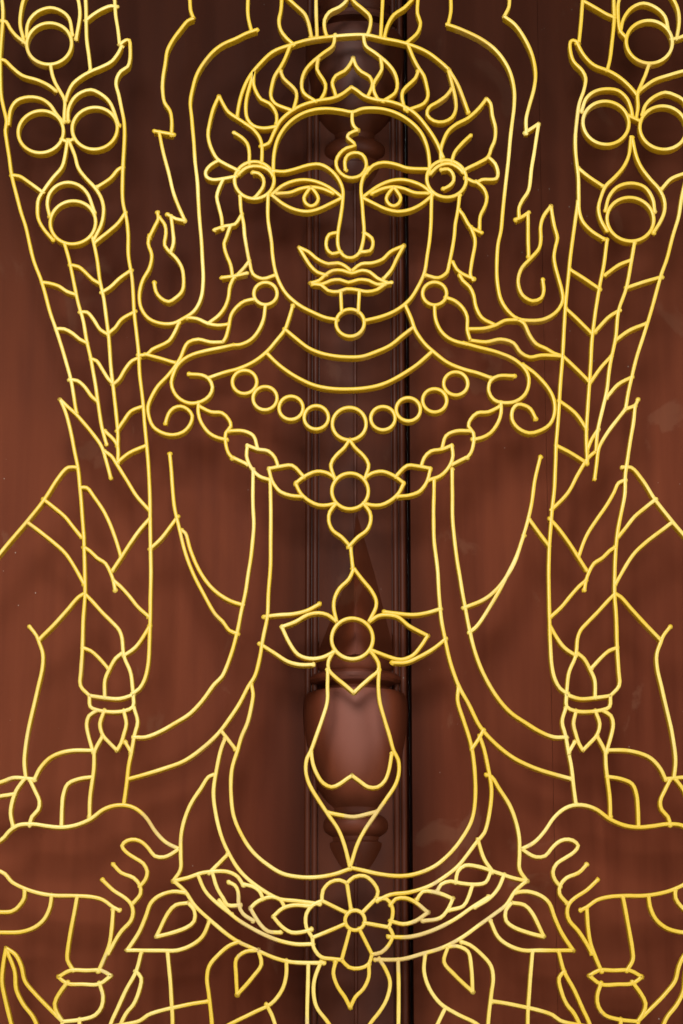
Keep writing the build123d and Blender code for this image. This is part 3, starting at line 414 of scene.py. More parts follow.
# how far the gate's stiles are from the figure's middle line, which is not the gate's
leftStileFace = -514
rightStileFace = -526
elbow = (-452, 1210)
barLook = {
    "thickness": 3.9 * mm, "round": 1.1 * mm, "cornerNear": 0.3, "cornerFar": 0.9, "step": 3.5 * mm,
    "setback": 0.25 * mm, "setbackGrain": 70, "swell": 0.07, "swellGrain": 90,
    "sway": 0.3 * mm, "swayGrain": 40, "swayLayer": 7.0, "ringSides": 24, "sidesPerMm": 2.4,
    "sharpest": 50,
}


def mirrored(line):
    return [(-across, up) for across, up in line]


def flipped(lines):
    return [mirrored(line) for line in lines]


# Headdress: spire, lotus and side leaves, up to a tie on the top rail
headdressTop = [
    [(-117, 1874), (-115, 1889), (-111, 1904), (-105, 1918), (-94, 1933), (-80, 1947), (-61, 1955),
     (-42, 1961), (-21, 1964), (0, 1966), (18, 1966), (35, 1962), (58, 1957), (81, 1947), (96, 1935),
     (104, 1927)],
    [(-24, 1965), (-26, 1973), (-26, 1983), (-21, 1992), (-10, 1998), (-3, 2005), (0, 2014)],
    [(19, 1966), (22, 1976), (22, 1987), (14, 1996), (5, 2004), (0, 2014)],
    [(-34, 1964), (-35, 2004), (-35, 2140), (-27, 2220), (0, 2300)],
    [(33, 1964), (35, 2004), (35, 2140), (27, 2220), (0, 2300)],
    [(-58, 1955), (-65, 1961), (-72, 1971), (-74, 1982), (-72, 1994), (-71, 2014)],
    [(-40, 1964), (-43, 1980), (-47, 1990), (-56, 1999), (-71, 2014)],
    [(60, 1957), (72, 1969), (75, 1980), (72, 1990), (73, 2014)],
    [(37, 1964), (40, 1976), (47, 1989), (58, 1997), (73, 2014)],
    [(0, 2300), (0, railAbove)],
]

# Headdress band with its middle spade and its flames; the third one differs from side to side
headdressBand = [
    [(-92, 1841), (-84, 1844), (-79, 1855), (-72, 1869), (-61, 1880), (-49, 1887), (-33, 1892),
     (-17, 1895), (-8, 1899), (2, 1907)],
    [(2, 1907), (7, 1904), (16, 1897), (28, 1893), (42, 1891), (58, 1885), (70, 1876), (81, 1862),
     (90, 1847), (97, 1829)],
    [(-79, 1811), (-78, 1833), (-74, 1850), (-65, 1865), (-52, 1876), (-36, 1882), (-21, 1883),
     (-7, 1881), (3, 1879), (14, 1883), (32, 1883), (49, 1878), (63, 1869), (74, 1857), (80, 1843),
     (83, 1824), (83, 1811)],
    [(4, 1940), (1, 1933), (-5, 1925), (-14, 1920), (-18, 1912), (-16, 1904), (-14, 1897)],
    [(4, 1940), (7, 1931), (13, 1924), (21, 1919), (24, 1911), (22, 1903), (19, 1896)],
]
headdressFlames = [
    [(-15, 1966), (-17, 1954), (-28, 1945), (-40, 1934), (-47, 1924), (-50, 1911), (-48, 1901),
     (-35, 1891)],
    [(-33, 1939), (-34, 1927), (-29, 1918), (-25, 1910), (-26, 1901), (-30, 1893)],
    [(-62, 1954), (-68, 1938), (-73, 1928), (-78, 1920), (-81, 1908), (-82, 1897), (-78, 1889),
     (-60, 1881)],
    [(-72, 1925), (-69, 1917), (-62, 1910), (-56, 1903), (-55, 1896), (-58, 1882)],
]
leftFlame = [
    [(-100, 1924), (-104, 1908), (-107, 1896), (-108, 1882), (-106, 1871), (-100, 1864), (-89, 1861),
     (-76, 1863)],
    [(-100, 1924), (-100, 1910), (-97, 1901), (-92, 1893), (-84, 1889), (-79, 1883), (-76, 1876),
     (-76, 1866)],
]
rightFlame = [
    [(104, 1925), (108, 1908), (111, 1893), (111, 1882), (107, 1873), (98, 1868), (88, 1869), (81, 1876),
     (83, 1884), (92, 1890), (100, 1896), (107, 1905)],
    [(104, 1927), (113, 1911), (119, 1895), (124, 1879)],
]

# Face
face = [
    [(3, 1879), (3, 1869), (5, 1863), (9, 1859)],
    [(9, 1859), (0, 1855), (-2, 1851), (2, 1847), (6, 1842), (-3, 1839), (-10, 1833), (-14, 1824),
     (-12, 1815), (-5, 1808), (3, 1806), (12, 1809), (17, 1817), (17, 1825), (13, 1832), (5, 1834),
     (-2, 1831), (-5, 1824), (-4, 1815)],
    [(-81, 1814), (-68, 1813), (-56, 1816), (-43, 1820), (-31, 1821), (-21, 1816), (-12, 1806),
     (-7, 1794), (-7, 1780), (-9, 1764), (-12, 1745), (-12, 1732), (-9, 1724), (-3, 1719), (4, 1719),
     (10, 1724), (13, 1732), (15, 1745), (14, 1764), (13, 1780), (12, 1794), (14, 1806), (20, 1817)],
    [(17, 1811), (25, 1820), (35, 1823), (48, 1821), (60, 1817), (76, 1816), (83, 1816)],
    [(-13, 1746), (-21, 1744), (-24, 1736), (-23, 1728), (-18, 1723), (-9, 1725)],
    [(15, 1746), (23, 1740), (24, 1732), (21, 1726), (11, 1725)],
    [(2, 1704), (-5, 1710), (-12, 1713), (-22, 1712), (-33, 1717), (-42, 1725), (-52, 1730)],
    [(-52, 1730), (-45, 1718), (-40, 1710), (-33, 1703), (-24, 1700)],
    [(2, 1704), (12, 1712), (23, 1713), (34, 1717), (42, 1725), (56, 1732)],
    [(56, 1732), (48, 1717), (43, 1706), (35, 1696)],
    [(-40, 1691), (-31, 1694), (-26, 1699), (-17, 1705), (-7, 1705), (2, 1702), (13, 1705), (21, 1703),
     (28, 1697), (38, 1692)],
    [(-40, 1691), (-28, 1690), (-19, 1694), (-10, 1695), (-1, 1692), (9, 1695), (20, 1694), (28, 1690),
     (43, 1692)],
    [(-38, 1690), (-29, 1689), (-22, 1683), (-12, 1682), (-3, 1685), (7, 1684), (18, 1682), (28, 1684),
     (36, 1690)],
    [(-9, 1682), (-8, 1660)],
    [(10, 1683), (9, 1660)],
    [(-84, 1788), (-84, 1762), (-80, 1735), (-79, 1722), (-76, 1704), (-72, 1692), (-65, 1680),
     (-52, 1668), (-38, 1660), (-24, 1654), (-13, 1652)],
    [(85, 1788), (83, 1743), (80, 1722), (77, 1703), (70, 1687), (62, 1674), (49, 1663), (35, 1656),
     (15, 1651)],
]
leftEye = [
    [(-80, 1788), (-70, 1797), (-59, 1802), (-47, 1804), (-35, 1802), (-22, 1796), (-8, 1785)],
    [(-80, 1787), (-68, 1777), (-56, 1771), (-43, 1769), (-31, 1772), (-21, 1777), (-8, 1784)],
    [(-75, 1789), (-61, 1790), (-51, 1794), (-40, 1796), (-28, 1794), (-17, 1789)],
    [(-40, 1796), (-44, 1790), (-47, 1784), (-45, 1778), (-40, 1775), (-35, 1777), (-32, 1783),
     (-35, 1790), (-40, 1796)],
]
eyeMirror = 6
rightEye = [[(eyeMirror - across, up) for across, up in line] for line in leftEye]
faceRings = [(0.7, 1648.5, 14.5)]

# Ears, side leaves, hair locks and pendants
leftEarOrnament = [
    [(-136, 1897), (-142, 1882), (-146, 1864), (-147, 1854), (-144, 1840), (-137, 1827), (-128, 1821),
     (-115, 1814)],
    [(-136, 1897), (-132, 1889), (-126, 1879), (-118, 1873), (-108, 1866), (-100, 1860), (-93, 1850),
     (-91, 1841), (-91, 1822)],
    [(-120, 1856), (-112, 1851), (-106, 1844), (-104, 1835), (-104, 1822)],
    [(-136, 1825), (-144, 1820), (-149, 1813), (-148, 1807), (-142, 1804), (-131, 1805), (-117, 1808)],
    [(-100, 1812), (-94, 1811), (-89, 1805), (-89, 1797), (-93, 1790), (-98, 1784)],
    [(-115, 1810), (-107, 1817), (-96, 1819), (-84, 1815), (-79, 1808)],
    [(-131, 1804), (-135, 1794), (-137, 1785), (-135, 1775), (-132, 1762), (-131, 1750)],
    [(-139, 1749), (-128, 1753), (-118, 1755), (-111, 1766)],
    [(-123, 1753), (-127, 1740), (-129, 1734), (-127, 1724), (-122, 1711), (-120, 1699)],
    [(-113, 1786), (-112, 1771), (-109, 1755), (-108, 1743), (-105, 1725), (-102, 1711), (-99, 1701),
     (-89, 1696), (-76, 1700)],
    [(-103, 1715), (-108, 1708), (-115, 1700)],
    [(-105, 1702), (-117, 1699), (-131, 1697)],
    [(-97, 1674), (-107, 1672), (-115, 1666), (-121, 1657), (-123, 1645), (-126, 1633), (-129, 1628)],
    [(-86, 1667), (-88, 1652), (-93, 1640), (-101, 1630), (-112, 1625), (-118, 1625)],
]
leftEarRings = [(-98.5, 1803.5, 20.4), (-86, 1680, 12)]
rightEarOrnament = [
    [(143, 1894), (147, 1889), (149, 1875), (152, 1861), (151, 1848), (147, 1838), (144, 1829),
     (133, 1822), (123, 1817), (117, 1813)],
    [(143, 1894), (135, 1883), (129, 1877), (123, 1872), (112, 1866), (103, 1858), (98, 1848),
     (95, 1838), (95, 1824)],
    [(126, 1853), (116, 1843), (109, 1834), (106, 1823)],
    [(144, 1829), (151, 1822), (154, 1811), (152, 1805), (137, 1804), (131, 1801), (120, 1806)],
    [(95, 1815), (102, 1816), (107, 1811), (108, 1803), (103, 1797), (97, 1794)],
    [(84, 1811), (92, 1819), (103, 1822), (112, 1818), (118, 1812)],
    [(131, 1802), (139, 1794), (142, 1785), (140, 1775), (135, 1764), (134, 1750)],
    [(113, 1771), (117, 1766), (125, 1752), (136, 1746)],
    [(125, 1752), (129, 1740), (129, 1732), (127, 1722), (125, 1711), (124, 1699), (127, 1695)],
    [(114, 1787), (112, 1771), (109, 1755), (108, 1743), (105, 1725), (102, 1711), (100, 1703),
     (91, 1697), (78, 1700)],
    [(106, 1714), (110, 1706), (116, 1701), (127, 1696)],
    [(98, 1676), (108, 1672), (116, 1664), (120, 1655), (120, 1641), (123, 1630)],
    [(87, 1667), (88, 1652), (93, 1640), (101, 1632), (110, 1628), (119, 1626)],
]
rightEarRings = [(100.5, 1805, 20.4), (87, 1680, 12.3)]

# Collar lines and the string of beads
collarLines = [
    [(-58, 1667), (-62, 1653), (-66, 1641), (-75, 1629), (-84, 1618), (-96, 1608), (-112, 1600),
     (-126, 1596), (-143, 1590)],
    [(57, 1667), (63, 1653), (67, 1641), (76, 1627), (86, 1617), (100, 1606), (116, 1599), (130, 1595),
     (143, 1590)],
    [(-66, 1642), (-56, 1633), (-42, 1622), (-28, 1616), (-14, 1613), (0, 1612), (14, 1613), (28, 1618),
     (42, 1625), (55, 1636), (65, 1644)],
    [(-84, 1616), (-72, 1604), (-56, 1592), (-38, 1583), (-21, 1579), (-3, 1578), (14, 1579), (32, 1583),
     (49, 1591), (67, 1603), (84, 1618)],
]
collarBeads = [
    (-106.5, 1585.6, 12.3), (-85.6, 1568.3, 12.3), (-59.3, 1558.3, 12.3), (-33.7, 1548.3, 12.3),
    (-0.4, 1541.6, 17), (33.6, 1547.4, 12.3), (59.4, 1556.7, 12.3), (86, 1566, 12.3), (107.6, 1584, 12.3),
]

# Necklace of leaves with a ring and drop
leafNecklace = [
    [(0, 1525), (-5, 1517), (-14, 1508), (-19, 1499), (-15, 1484)],
    [(-153, 1564), (-153, 1553), (-150, 1543), (-142, 1532), (-133, 1527), (-124, 1525)],
    [(-152, 1560), (-140, 1554), (-129, 1553), (-122, 1546), (-120, 1539), (-125, 1532), (-125, 1522),
     (-122, 1511), (-118, 1506)],
    [(-122, 1534), (-107, 1534), (-97, 1529), (-93, 1516)],
    [(-117, 1506), (-103, 1499)],
    [(-103, 1519), (-93, 1515), (-82, 1513), (-75, 1506), (-72, 1497)],
    [(-103, 1518), (-104, 1508), (-100, 1497), (-91, 1487), (-80, 1483)],
    [(-81, 1495), (-70, 1497), (-58, 1498), (-51, 1492), (-46, 1486)],
    [(-81, 1494), (-78, 1482), (-72, 1473), (-68, 1470), (-59, 1467), (-48, 1466)],
    [(-54, 1480), (-45, 1487), (-33, 1492), (-22, 1490), (-15, 1485)],
    [(-54, 1479), (-49, 1469), (-40, 1461), (-31, 1457), (-22, 1457), (-14, 1459)],
    [(-14, 1458), (-20, 1450), (-21, 1441), (-17, 1431), (-8, 1424), (1, 1414)],
]
necklaceRing = [(0.5, 1471.5, 18.4)]

# Robe ribbons beside the head, hung from the top rail
leftStreamer = [
    [(-168, railAbove), (-168, 2040)],
    [(-168, 2040), (-168, 2004), (-167, 1993), (-164, 1985)],
    [(-164, 1985), (-170, 1982), (-177, 1973), (-185, 1961), (-191, 1948), (-193, 1933), (-195, 1915),
     (-195, 1903), (-193, 1890), (-187, 1880), (-185, 1869), (-185, 1854)],
    [(-183, 1854), (-203, 1858)],
    [(-198, 1857), (-193, 1833), (-187, 1811), (-182, 1790), (-177, 1776), (-170, 1760)],
    [(-170, 1759), (-179, 1761), (-188, 1766)],
    [(-184, 1764), (-182, 1748), (-181, 1735), (-184, 1724)],
    [(-198, 1768), (-197, 1761), (-200, 1754), (-206, 1741)],
    [(-196, 1763), (-190, 1754), (-189, 1745), (-190, 1732), (-184, 1724)],
    [(-184, 1724), (-178, 1718), (-172, 1708), (-170, 1696), (-171, 1683), (-178, 1675), (-185, 1671),
     (-193, 1675), (-198, 1682), (-200, 1692)],
    [(-107, railAbove), (-107, 2010)],
    [(-107, 2010), (-107, 1992), (-106, 1983), (-103, 1971)],
    [(-97, 1972), (-108, 1968), (-119, 1962), (-133, 1955), (-143, 1947), (-153, 1934), (-160, 1920),
     (-164, 1904), (-166, 1889), (-164, 1871), (-162, 1850), (-160, 1824), (-157, 1797), (-155, 1766),
     (-153, 1745), (-151, 1717), (-150, 1692), (-152, 1675), (-159, 1661), (-170, 1653), (-180, 1648),
     (-193, 1648), (-205, 1653), (-213, 1664), (-215, 1678), (-212, 1694), (-205, 1708), (-203, 1722),
     (-207, 1734), (-206, 1743)],
]
rightStreamer = [
    [(168, railAbove), (168, 2040)],
    [(168, 2040), (169, 2004), (168, 1997), (163, 1987)],
    [(163, 1987), (174, 1978), (184, 1962), (192, 1943), (195, 1922), (193, 1906), (188, 1887),
     (184, 1871), (184, 1855)],
    [(183, 1856), (190, 1861), (197, 1866)],
    [(197, 1866), (193, 1841), (189, 1818), (185, 1792), (179, 1782), (175, 1773), (175, 1762)],
    [(171, 1760), (178, 1763), (185, 1768)],
    [(184, 1767), (184, 1720)],
    [(208, 1775), (200, 1764), (197, 1753), (197, 1738), (195, 1729), (186, 1718), (177, 1708),
     (173, 1697), (173, 1688), (177, 1678), (187, 1672), (196, 1675), (199, 1683), (198, 1695)],
    [(107, railAbove), (107, 2010)],
    [(107, 2010), (107, 1992), (104, 1978)],
    [(103, 1978), (116, 1973), (139, 1961), (156, 1946), (167, 1927), (172, 1906), (172, 1887),
     (168, 1857), (164, 1818), (160, 1787), (156, 1748), (153, 1734), (151, 1708), (152, 1689),
     (155, 1673), (162, 1661), (172, 1653), (184, 1651), (197, 1652), (207, 1657), (214, 1664),
     (218, 1673), (217, 1685), (214, 1697), (211, 1710), (210, 1720), (212, 1732), (214, 1740),
     (211, 1754), (208, 1775)],
]

# Feathered plumes behind the figure
plumeTip = [(-366, 1938), (-366, 2004), (-378, 2040), (-395, 2110), (-400, 2200), (-383, 2275),
            (-345, 2335)]
plumeFoot = [(-198, 1390), (-198, 1320), (-199, 1294), (-202, 1280), (-207, 1271), (-214, 1266)]
leftPlume = [
    [(-276, 1553), (-282, 1585), (-289, 1610), (-298, 1638), (-307, 1664), (-315, 1692), (-324, 1715),
     (-334, 1754), (-339, 1769), (-345, 1790), (-350, 1810), (-353, 1829), (-356, 1845), (-358, 1859),
     (-357, 1868), (-361, 1885), (-364, 1900)] + plumeTip,
    [(-345, 2335), (-290, 2240), (-256, 2110), (-247, 2000), (-246, 1987), (-243, 1971), (-241, 1955)],
    [(-241, 1955), (-235, 1960), (-231, 1960), (-230, 1952), (-230, 1938), (-232, 1930), (-239, 1925),
     (-243, 1918), (-244, 1910), (-241, 1899), (-238, 1885), (-235, 1871), (-234, 1859), (-234, 1841),
     (-235, 1806), (-234, 1780), (-230, 1762), (-228, 1745), (-227, 1720), (-223, 1697), (-221, 1675),
     (-219, 1652), (-215, 1620), (-213, 1594), (-209, 1564), (-207, 1541), (-204, 1515), (-201, 1478),
     (-200, 1455), (-199, 1425)] + plumeFoot,
    [(-293, 1567), (-287, 1553), (-281, 1532), (-277, 1513), (-273, 1494), (-271, 1478), (-269, 1460),
     (-267, 1439), (-265, 1418), (-264, 1395), (-263, 1366), (-264, 1338), (-264, 1310), (-265, 1288),
     (-265, 1274), (-256, 1264)],
    [(-271, 1926), (-273, 1941), (-276, 1962), (-277, 1980), (-278, 2004), (-286, 2090), (-310, 2210),
     (-345, 2335)],
    [(-345, 2335), (-345, railAbove)],
]
leftFeathers = [
    [(-339, 1964), (-339, 1973), (-337, 1982), (-329, 1992), (-315, 1997), (-303, 1993), (-295, 1985),
     (-291, 1966)],
    [(-342, 1958), (-343, 1964), (-346, 1976), (-346, 1990), (-342, 2010), (-314, 2052)],
    [(-287, 1962), (-284, 1985), (-284, 1994), (-288, 2012), (-314, 2052)],
    [(-366, 1982), (-361, 1981), (-357, 1974), (-350, 1965), (-339, 1956)],
    [(-365, 1938), (-361, 1937), (-353, 1929), (-342, 1920), (-326, 1915), (-314, 1909), (-307, 1903)],
    [(-313, 1932), (-311, 1922), (-307, 1911), (-302, 1902), (-297, 1892), (-297, 1878), (-297, 1869)],
    [(-239, 1953), (-242, 1946), (-249, 1936), (-259, 1930), (-270, 1925), (-280, 1919), (-289, 1911),
     (-293, 1903), (-296, 1892)],
    [(-277, 1983), (-270, 1989), (-261, 1995), (-251, 1999), (-245, 1998)],
    [(-355, 1866), (-353, 1883), (-347, 1892), (-335, 1896), (-322, 1894), (-312, 1887), (-306, 1878),
     (-298, 1868)],
    [(-293, 1869), (-293, 1882), (-288, 1894), (-280, 1901), (-270, 1904), (-259, 1899), (-250, 1890),
     (-240, 1864)],
    [(-299, 1849), (-293, 1846), (-287, 1849)],
    [(-293, 1848), (-295, 1831), (-298, 1818), (-307, 1806), (-315, 1794), (-321, 1783), (-322, 1775),
     (-321, 1762), (-315, 1750), (-305, 1738)],
    [(-292, 1848), (-285, 1831), (-281, 1817), (-273, 1806), (-264, 1796), (-257, 1785), (-254, 1775),
     (-254, 1764), (-256, 1754), (-263, 1738)],
    [(-350, 1809), (-342, 1808), (-333, 1802), (-325, 1796), (-317, 1790)],
    [(-235, 1818), (-240, 1815), (-247, 1806), (-261, 1796)],
    [(-309, 1764), (-312, 1777), (-310, 1789), (-302, 1798), (-291, 1801), (-280, 1798), (-271, 1789),
     (-263, 1768)],
    [(-231, 1768), (-238, 1757), (-247, 1748), (-262, 1735)],
    [(-293, 1734), (-287, 1713), (-282, 1690), (-277, 1669), (-272, 1652), (-268, 1631), (-263, 1610),
     (-258, 1585), (-255, 1566), (-250, 1538), (-245, 1520)],
    [(-264, 1740), (-259, 1717), (-256, 1696), (-251, 1673), (-247, 1645), (-244, 1620), (-242, 1597),
     (-239, 1576), (-236, 1552), (-234, 1532), (-234, 1518)],
    [(-287, 1711), (-278, 1709), (-270, 1702), (-263, 1695), (-256, 1691)],
    [(-315, 1692), (-308, 1691), (-298, 1688), (-289, 1682), (-280, 1679)],
    [(-254, 1681), (-245, 1687), (-236, 1696), (-224, 1705)],
    [(-275, 1660), (-268, 1660), (-261, 1652), (-254, 1641), (-246, 1636)],
    [(-299, 1642), (-291, 1642), (-282, 1637), (-275, 1631), (-267, 1627)],
    [(-246, 1637), (-239, 1643), (-233, 1652), (-219, 1661)],
    [(-263, 1610), (-257, 1608), (-251, 1599), (-245, 1589), (-240, 1584)],
    [(-284, 1588), (-276, 1587), (-268, 1580), (-261, 1570), (-255, 1565)],
    [(-240, 1583), (-234, 1588), (-228, 1599), (-221, 1608), (-214, 1611)],
    [(-235, 1534), (-228, 1545), (-221, 1555), (-209, 1560)],
    [(-234, 1501), (-222, 1511), (-205, 1519)],
    [(-293, 1567), (-285, 1559), (-276, 1551), (-268, 1542), (-259, 1531), (-250, 1518), (-245, 1503),
     (-240, 1485)],
    [(-247, 1534), (-238, 1525), (-234, 1518), (-233, 1501)],
    [(-247, 1513), (-240, 1508), (-234, 1499), (-224, 1483), (-214, 1467), (-201, 1452)],
    [(-270, 1475), (-264, 1475), (-256, 1465), (-247, 1452), (-239, 1436), (-233, 1420), (-228, 1404)],
]
plumeLow = [
    [(-200, 1443), (-210, 1431), (-219, 1418), (-228, 1403), (-236, 1390)],
    [(-265, 1414), (-259, 1410), (-252, 1403), (-243, 1397), (-238, 1388), (-235, 1380), (-233, 1370)],
    [(-235, 1380), (-228, 1374), (-219, 1364), (-210, 1353), (-199, 1343)],
    [(-198, 1334), (-204, 1323), (-212, 1312), (-223, 1304)],
    [(-263, 1366), (-256, 1359), (-245, 1347), (-236, 1338), (-228, 1329), (-225, 1320), (-224, 1310),
     (-222, 1301), (-216, 1287), (-213, 1266)],
    [(-264, 1312), (-256, 1309), (-249, 1303), (-238, 1291)],
    [(-225, 1306), (-231, 1301), (-237, 1290), (-241, 1280), (-241, 1262)],
]
leftPlumeRings = [(-315, 1956, 23.5), (-321, 1857, 23.5), (-265, 1861, 23.5), (-285, 1757, 23.5)]
rightPlume = [
    [(279, 1557), (282, 1573), (286, 1590), (293, 1615), (301, 1639), (311, 1671), (319, 1699),
     (326, 1718), (333, 1743), (339, 1762), (343, 1783), (350, 1812), (354, 1835), (357, 1860),
     (361, 1885), (364, 1900)] + mirrored(plumeTip),
    [(345, 2335), (290, 2240), (256, 2110), (246, 2004), (244, 1982), (241, 1957)],
    [(241, 1957), (235, 1960), (232, 1958), (232, 1947), (235, 1936), (244, 1925), (247, 1917),
     (245, 1904), (240, 1889), (237, 1871), (235, 1854), (235, 1833), (237, 1806), (237, 1782),
     (237, 1771), (240, 1759), (249, 1748), (262, 1739)],
    [(236, 1780), (232, 1754), (229, 1735), (227, 1720), (224, 1694), (221, 1669), (219, 1645),
     (217, 1617), (214, 1585), (211, 1550), (208, 1518), (206, 1480), (203, 1455),
     (200, 1425)] + mirrored(plumeFoot),
    [(292, 1567), (289, 1561), (279, 1557)],
    [(289, 1560), (287, 1545), (283, 1524), (280, 1506), (277, 1489), (276, 1470), (272, 1450),
     (267, 1425), (264, 1395), (263, 1366), (264, 1338), (264, 1310), (265, 1288), (265, 1274),
     (256, 1264)],
    [(270, 1926), (273, 1938), (276, 1959), (279, 1985), (279, 2004), (286, 2090), (310, 2210),
     (345, 2335)],
    [(345, 2335), (345, railAbove)],
    [(285, 1970), (289, 1985), (298, 1997), (310, 2002), (323, 1997), (332, 1987), (335, 1973)],
    [(344, 1962), (347, 1980), (346, 1996), (340, 2010), (314, 2052)],
    [(290, 1964), (285, 1970), (283, 1990), (284, 2004), (290, 2018), (314, 2052)],
    [(339, 1961), (350, 1964), (366, 1978)],
    [(365, 1928), (349, 1925), (333, 1920), (319, 1915), (309, 1908), (302, 1902)],
    [(314, 1933), (311, 1924), (305, 1910), (301, 1899), (301, 1885), (299, 1873)],
    [(239, 1957), (246, 1943), (256, 1932), (272, 1925), (284, 1917), (293, 1908), (300, 1899)],
    [(248, 2004), (261, 1996), (272, 1989), (279, 1986)],
    [(242, 1880), (247, 1894), (256, 1902), (268, 1905), (281, 1903), (290, 1894), (294, 1882),
     (295, 1874)],
    [(305, 1876), (309, 1887), (318, 1896), (330, 1901), (340, 1898), (348, 1893), (353, 1883),
     (356, 1866)],
    [(291, 1875), (303, 1869)],
    [(293, 1851), (290, 1831), (284, 1818), (274, 1806), (265, 1797), (260, 1785), (257, 1773),
     (259, 1760), (265, 1748)],
    [(294, 1851), (298, 1829), (303, 1817), (312, 1804), (320, 1794), (325, 1782), (325, 1769),
     (320, 1757), (313, 1746)],
    [(237, 1817), (247, 1808), (262, 1797)],
    [(350, 1812), (333, 1805), (323, 1794)],
    [(264, 1770), (268, 1785), (277, 1796), (291, 1800), (305, 1796), (313, 1783), (315, 1769)],
    [(293, 1735), (289, 1713), (283, 1685), (275, 1662), (271, 1632), (265, 1606), (260, 1574),
     (254, 1550), (250, 1532), (248, 1513)],
    [(265, 1738), (261, 1711), (256, 1687), (251, 1659), (247, 1631), (244, 1594), (241, 1559),
     (239, 1536), (239, 1501)],
    [(289, 1716), (277, 1711), (262, 1700)],
    [(320, 1698), (300, 1692), (283, 1686)],
    [(226, 1706), (239, 1697), (256, 1685)],
    [(276, 1662), (265, 1655), (250, 1639)],
    [(303, 1648), (286, 1641), (271, 1630)],
    [(221, 1664), (233, 1652), (247, 1637)],
    [(266, 1613), (256, 1602), (244, 1585)],
    [(287, 1591), (272, 1583), (260, 1569)],
    [(217, 1613), (228, 1602), (242, 1587)],
    [(212, 1566), (228, 1553), (239, 1536)],
    [(208, 1519), (223, 1511), (239, 1500)],
    [(279, 1557), (268, 1543), (258, 1529), (251, 1516), (248, 1497), (246, 1484)],
    [(251, 1536), (244, 1525), (239, 1513)],
    [(248, 1513), (240, 1506), (230, 1490), (219, 1470), (202, 1452)],
    [(277, 1483), (270, 1480), (265, 1470), (256, 1455), (247, 1442), (239, 1430), (233, 1418),
     (228, 1404)],
]
rightPlumeRings = [(315, 1958, 24.2), (326.5, 1861.5, 24.2), (267, 1867, 24), (289.5, 1760.5, 24)]

# Staff below each plume, with its binding and petals
staff = [
    [(-256, 1264), (-242, 1262), (-226, 1261), (-213, 1265)],
    [(-256, 1264), (-255, 1253), (-249, 1250), (-235, 1248), (-221, 1249), (-213, 1253), (-213, 1265)],
    [(-249, 1249), (-256, 1244), (-258, 1236), (-256, 1225), (-253, 1215), (-251, 1208)],
    [(-241, 1249), (-245, 1236), (-242, 1225), (-235, 1217), (-228, 1210)],
    [(-222, 1249), (-219, 1236), (-221, 1227), (-224, 1217), (-228, 1210)],
    [(-212, 1252), (-208, 1238), (-211, 1225), (-214, 1206)],
    [(-220, 1218), (-214, 1208)],
    [(-242, 1224), (-247, 1215), (-250, 1208)],
    [(-250, 1209), (-250, 1192), (-253, 1164), (-253, 1145)],
    [(-214, 1206), (-216, 1195), (-218, 1174), (-220, 1157)],
    [(-251, 1184), (-264, 1182), (-275, 1177), (-279, 1167), (-280, 1153), (-280, 1136)],
]

# Cloth and scroll on each shoulder
leftShoulder = [
    [(-166, 1654), (-156, 1653), (-145, 1648), (-135, 1646), (-124, 1647)],
    [(-174, 1649), (-178, 1639), (-184, 1629), (-193, 1624), (-201, 1620), (-206, 1615), (-215, 1614)],
    [(-208, 1615), (-193, 1611), (-184, 1608), (-177, 1606)],
    [(-118, 1698), (-122, 1689), (-124, 1675), (-127, 1666), (-133, 1657), (-144, 1648)],
    [(-129, 1628), (-142, 1628), (-154, 1631), (-164, 1628), (-168, 1622), (-171, 1613), (-176, 1604),
     (-185, 1592), (-194, 1582), (-200, 1571), (-204, 1559), (-202, 1546), (-198, 1538), (-189, 1532),
     (-178, 1530), (-168, 1533), (-161, 1541), (-159, 1550), (-164, 1557), (-171, 1560), (-178, 1558),
     (-183, 1552), (-186, 1542)],
    [(-118, 1625), (-131, 1622), (-145, 1619), (-159, 1615), (-168, 1610), (-175, 1603), (-179, 1594),
     (-181, 1585), (-178, 1575), (-171, 1567), (-161, 1563), (-150, 1565), (-142, 1571), (-139, 1580),
     (-143, 1589), (-150, 1593), (-163, 1594)],
]
rightShoulder = [
    [(121, 1642), (139, 1643), (151, 1647), (158, 1651), (172, 1652)],
    [(172, 1652), (178, 1648), (183, 1636), (190, 1626), (200, 1621), (208, 1616), (217, 1613)],
    [(123, 1630), (139, 1628), (154, 1631), (167, 1627), (174, 1617), (183, 1612), (195, 1614),
     (217, 1613)],
    [(113, 1700), (116, 1694), (123, 1687), (127, 1678), (129, 1666), (135, 1654), (147, 1647)],
    [(116, 1627), (133, 1622), (151, 1617), (165, 1611), (175, 1603), (181, 1594), (182, 1585),
     (178, 1573), (168, 1565), (154, 1564), (146, 1567), (141, 1576), (143, 1587), (151, 1592),
     (167, 1592)],
    [(176, 1604), (189, 1594), (202, 1578), (207, 1566), (207, 1552), (202, 1541), (191, 1534),
     (181, 1532), (170, 1537), (164, 1546), (165, 1557), (170, 1562), (177, 1561), (183, 1557),
     (188, 1547)],
]

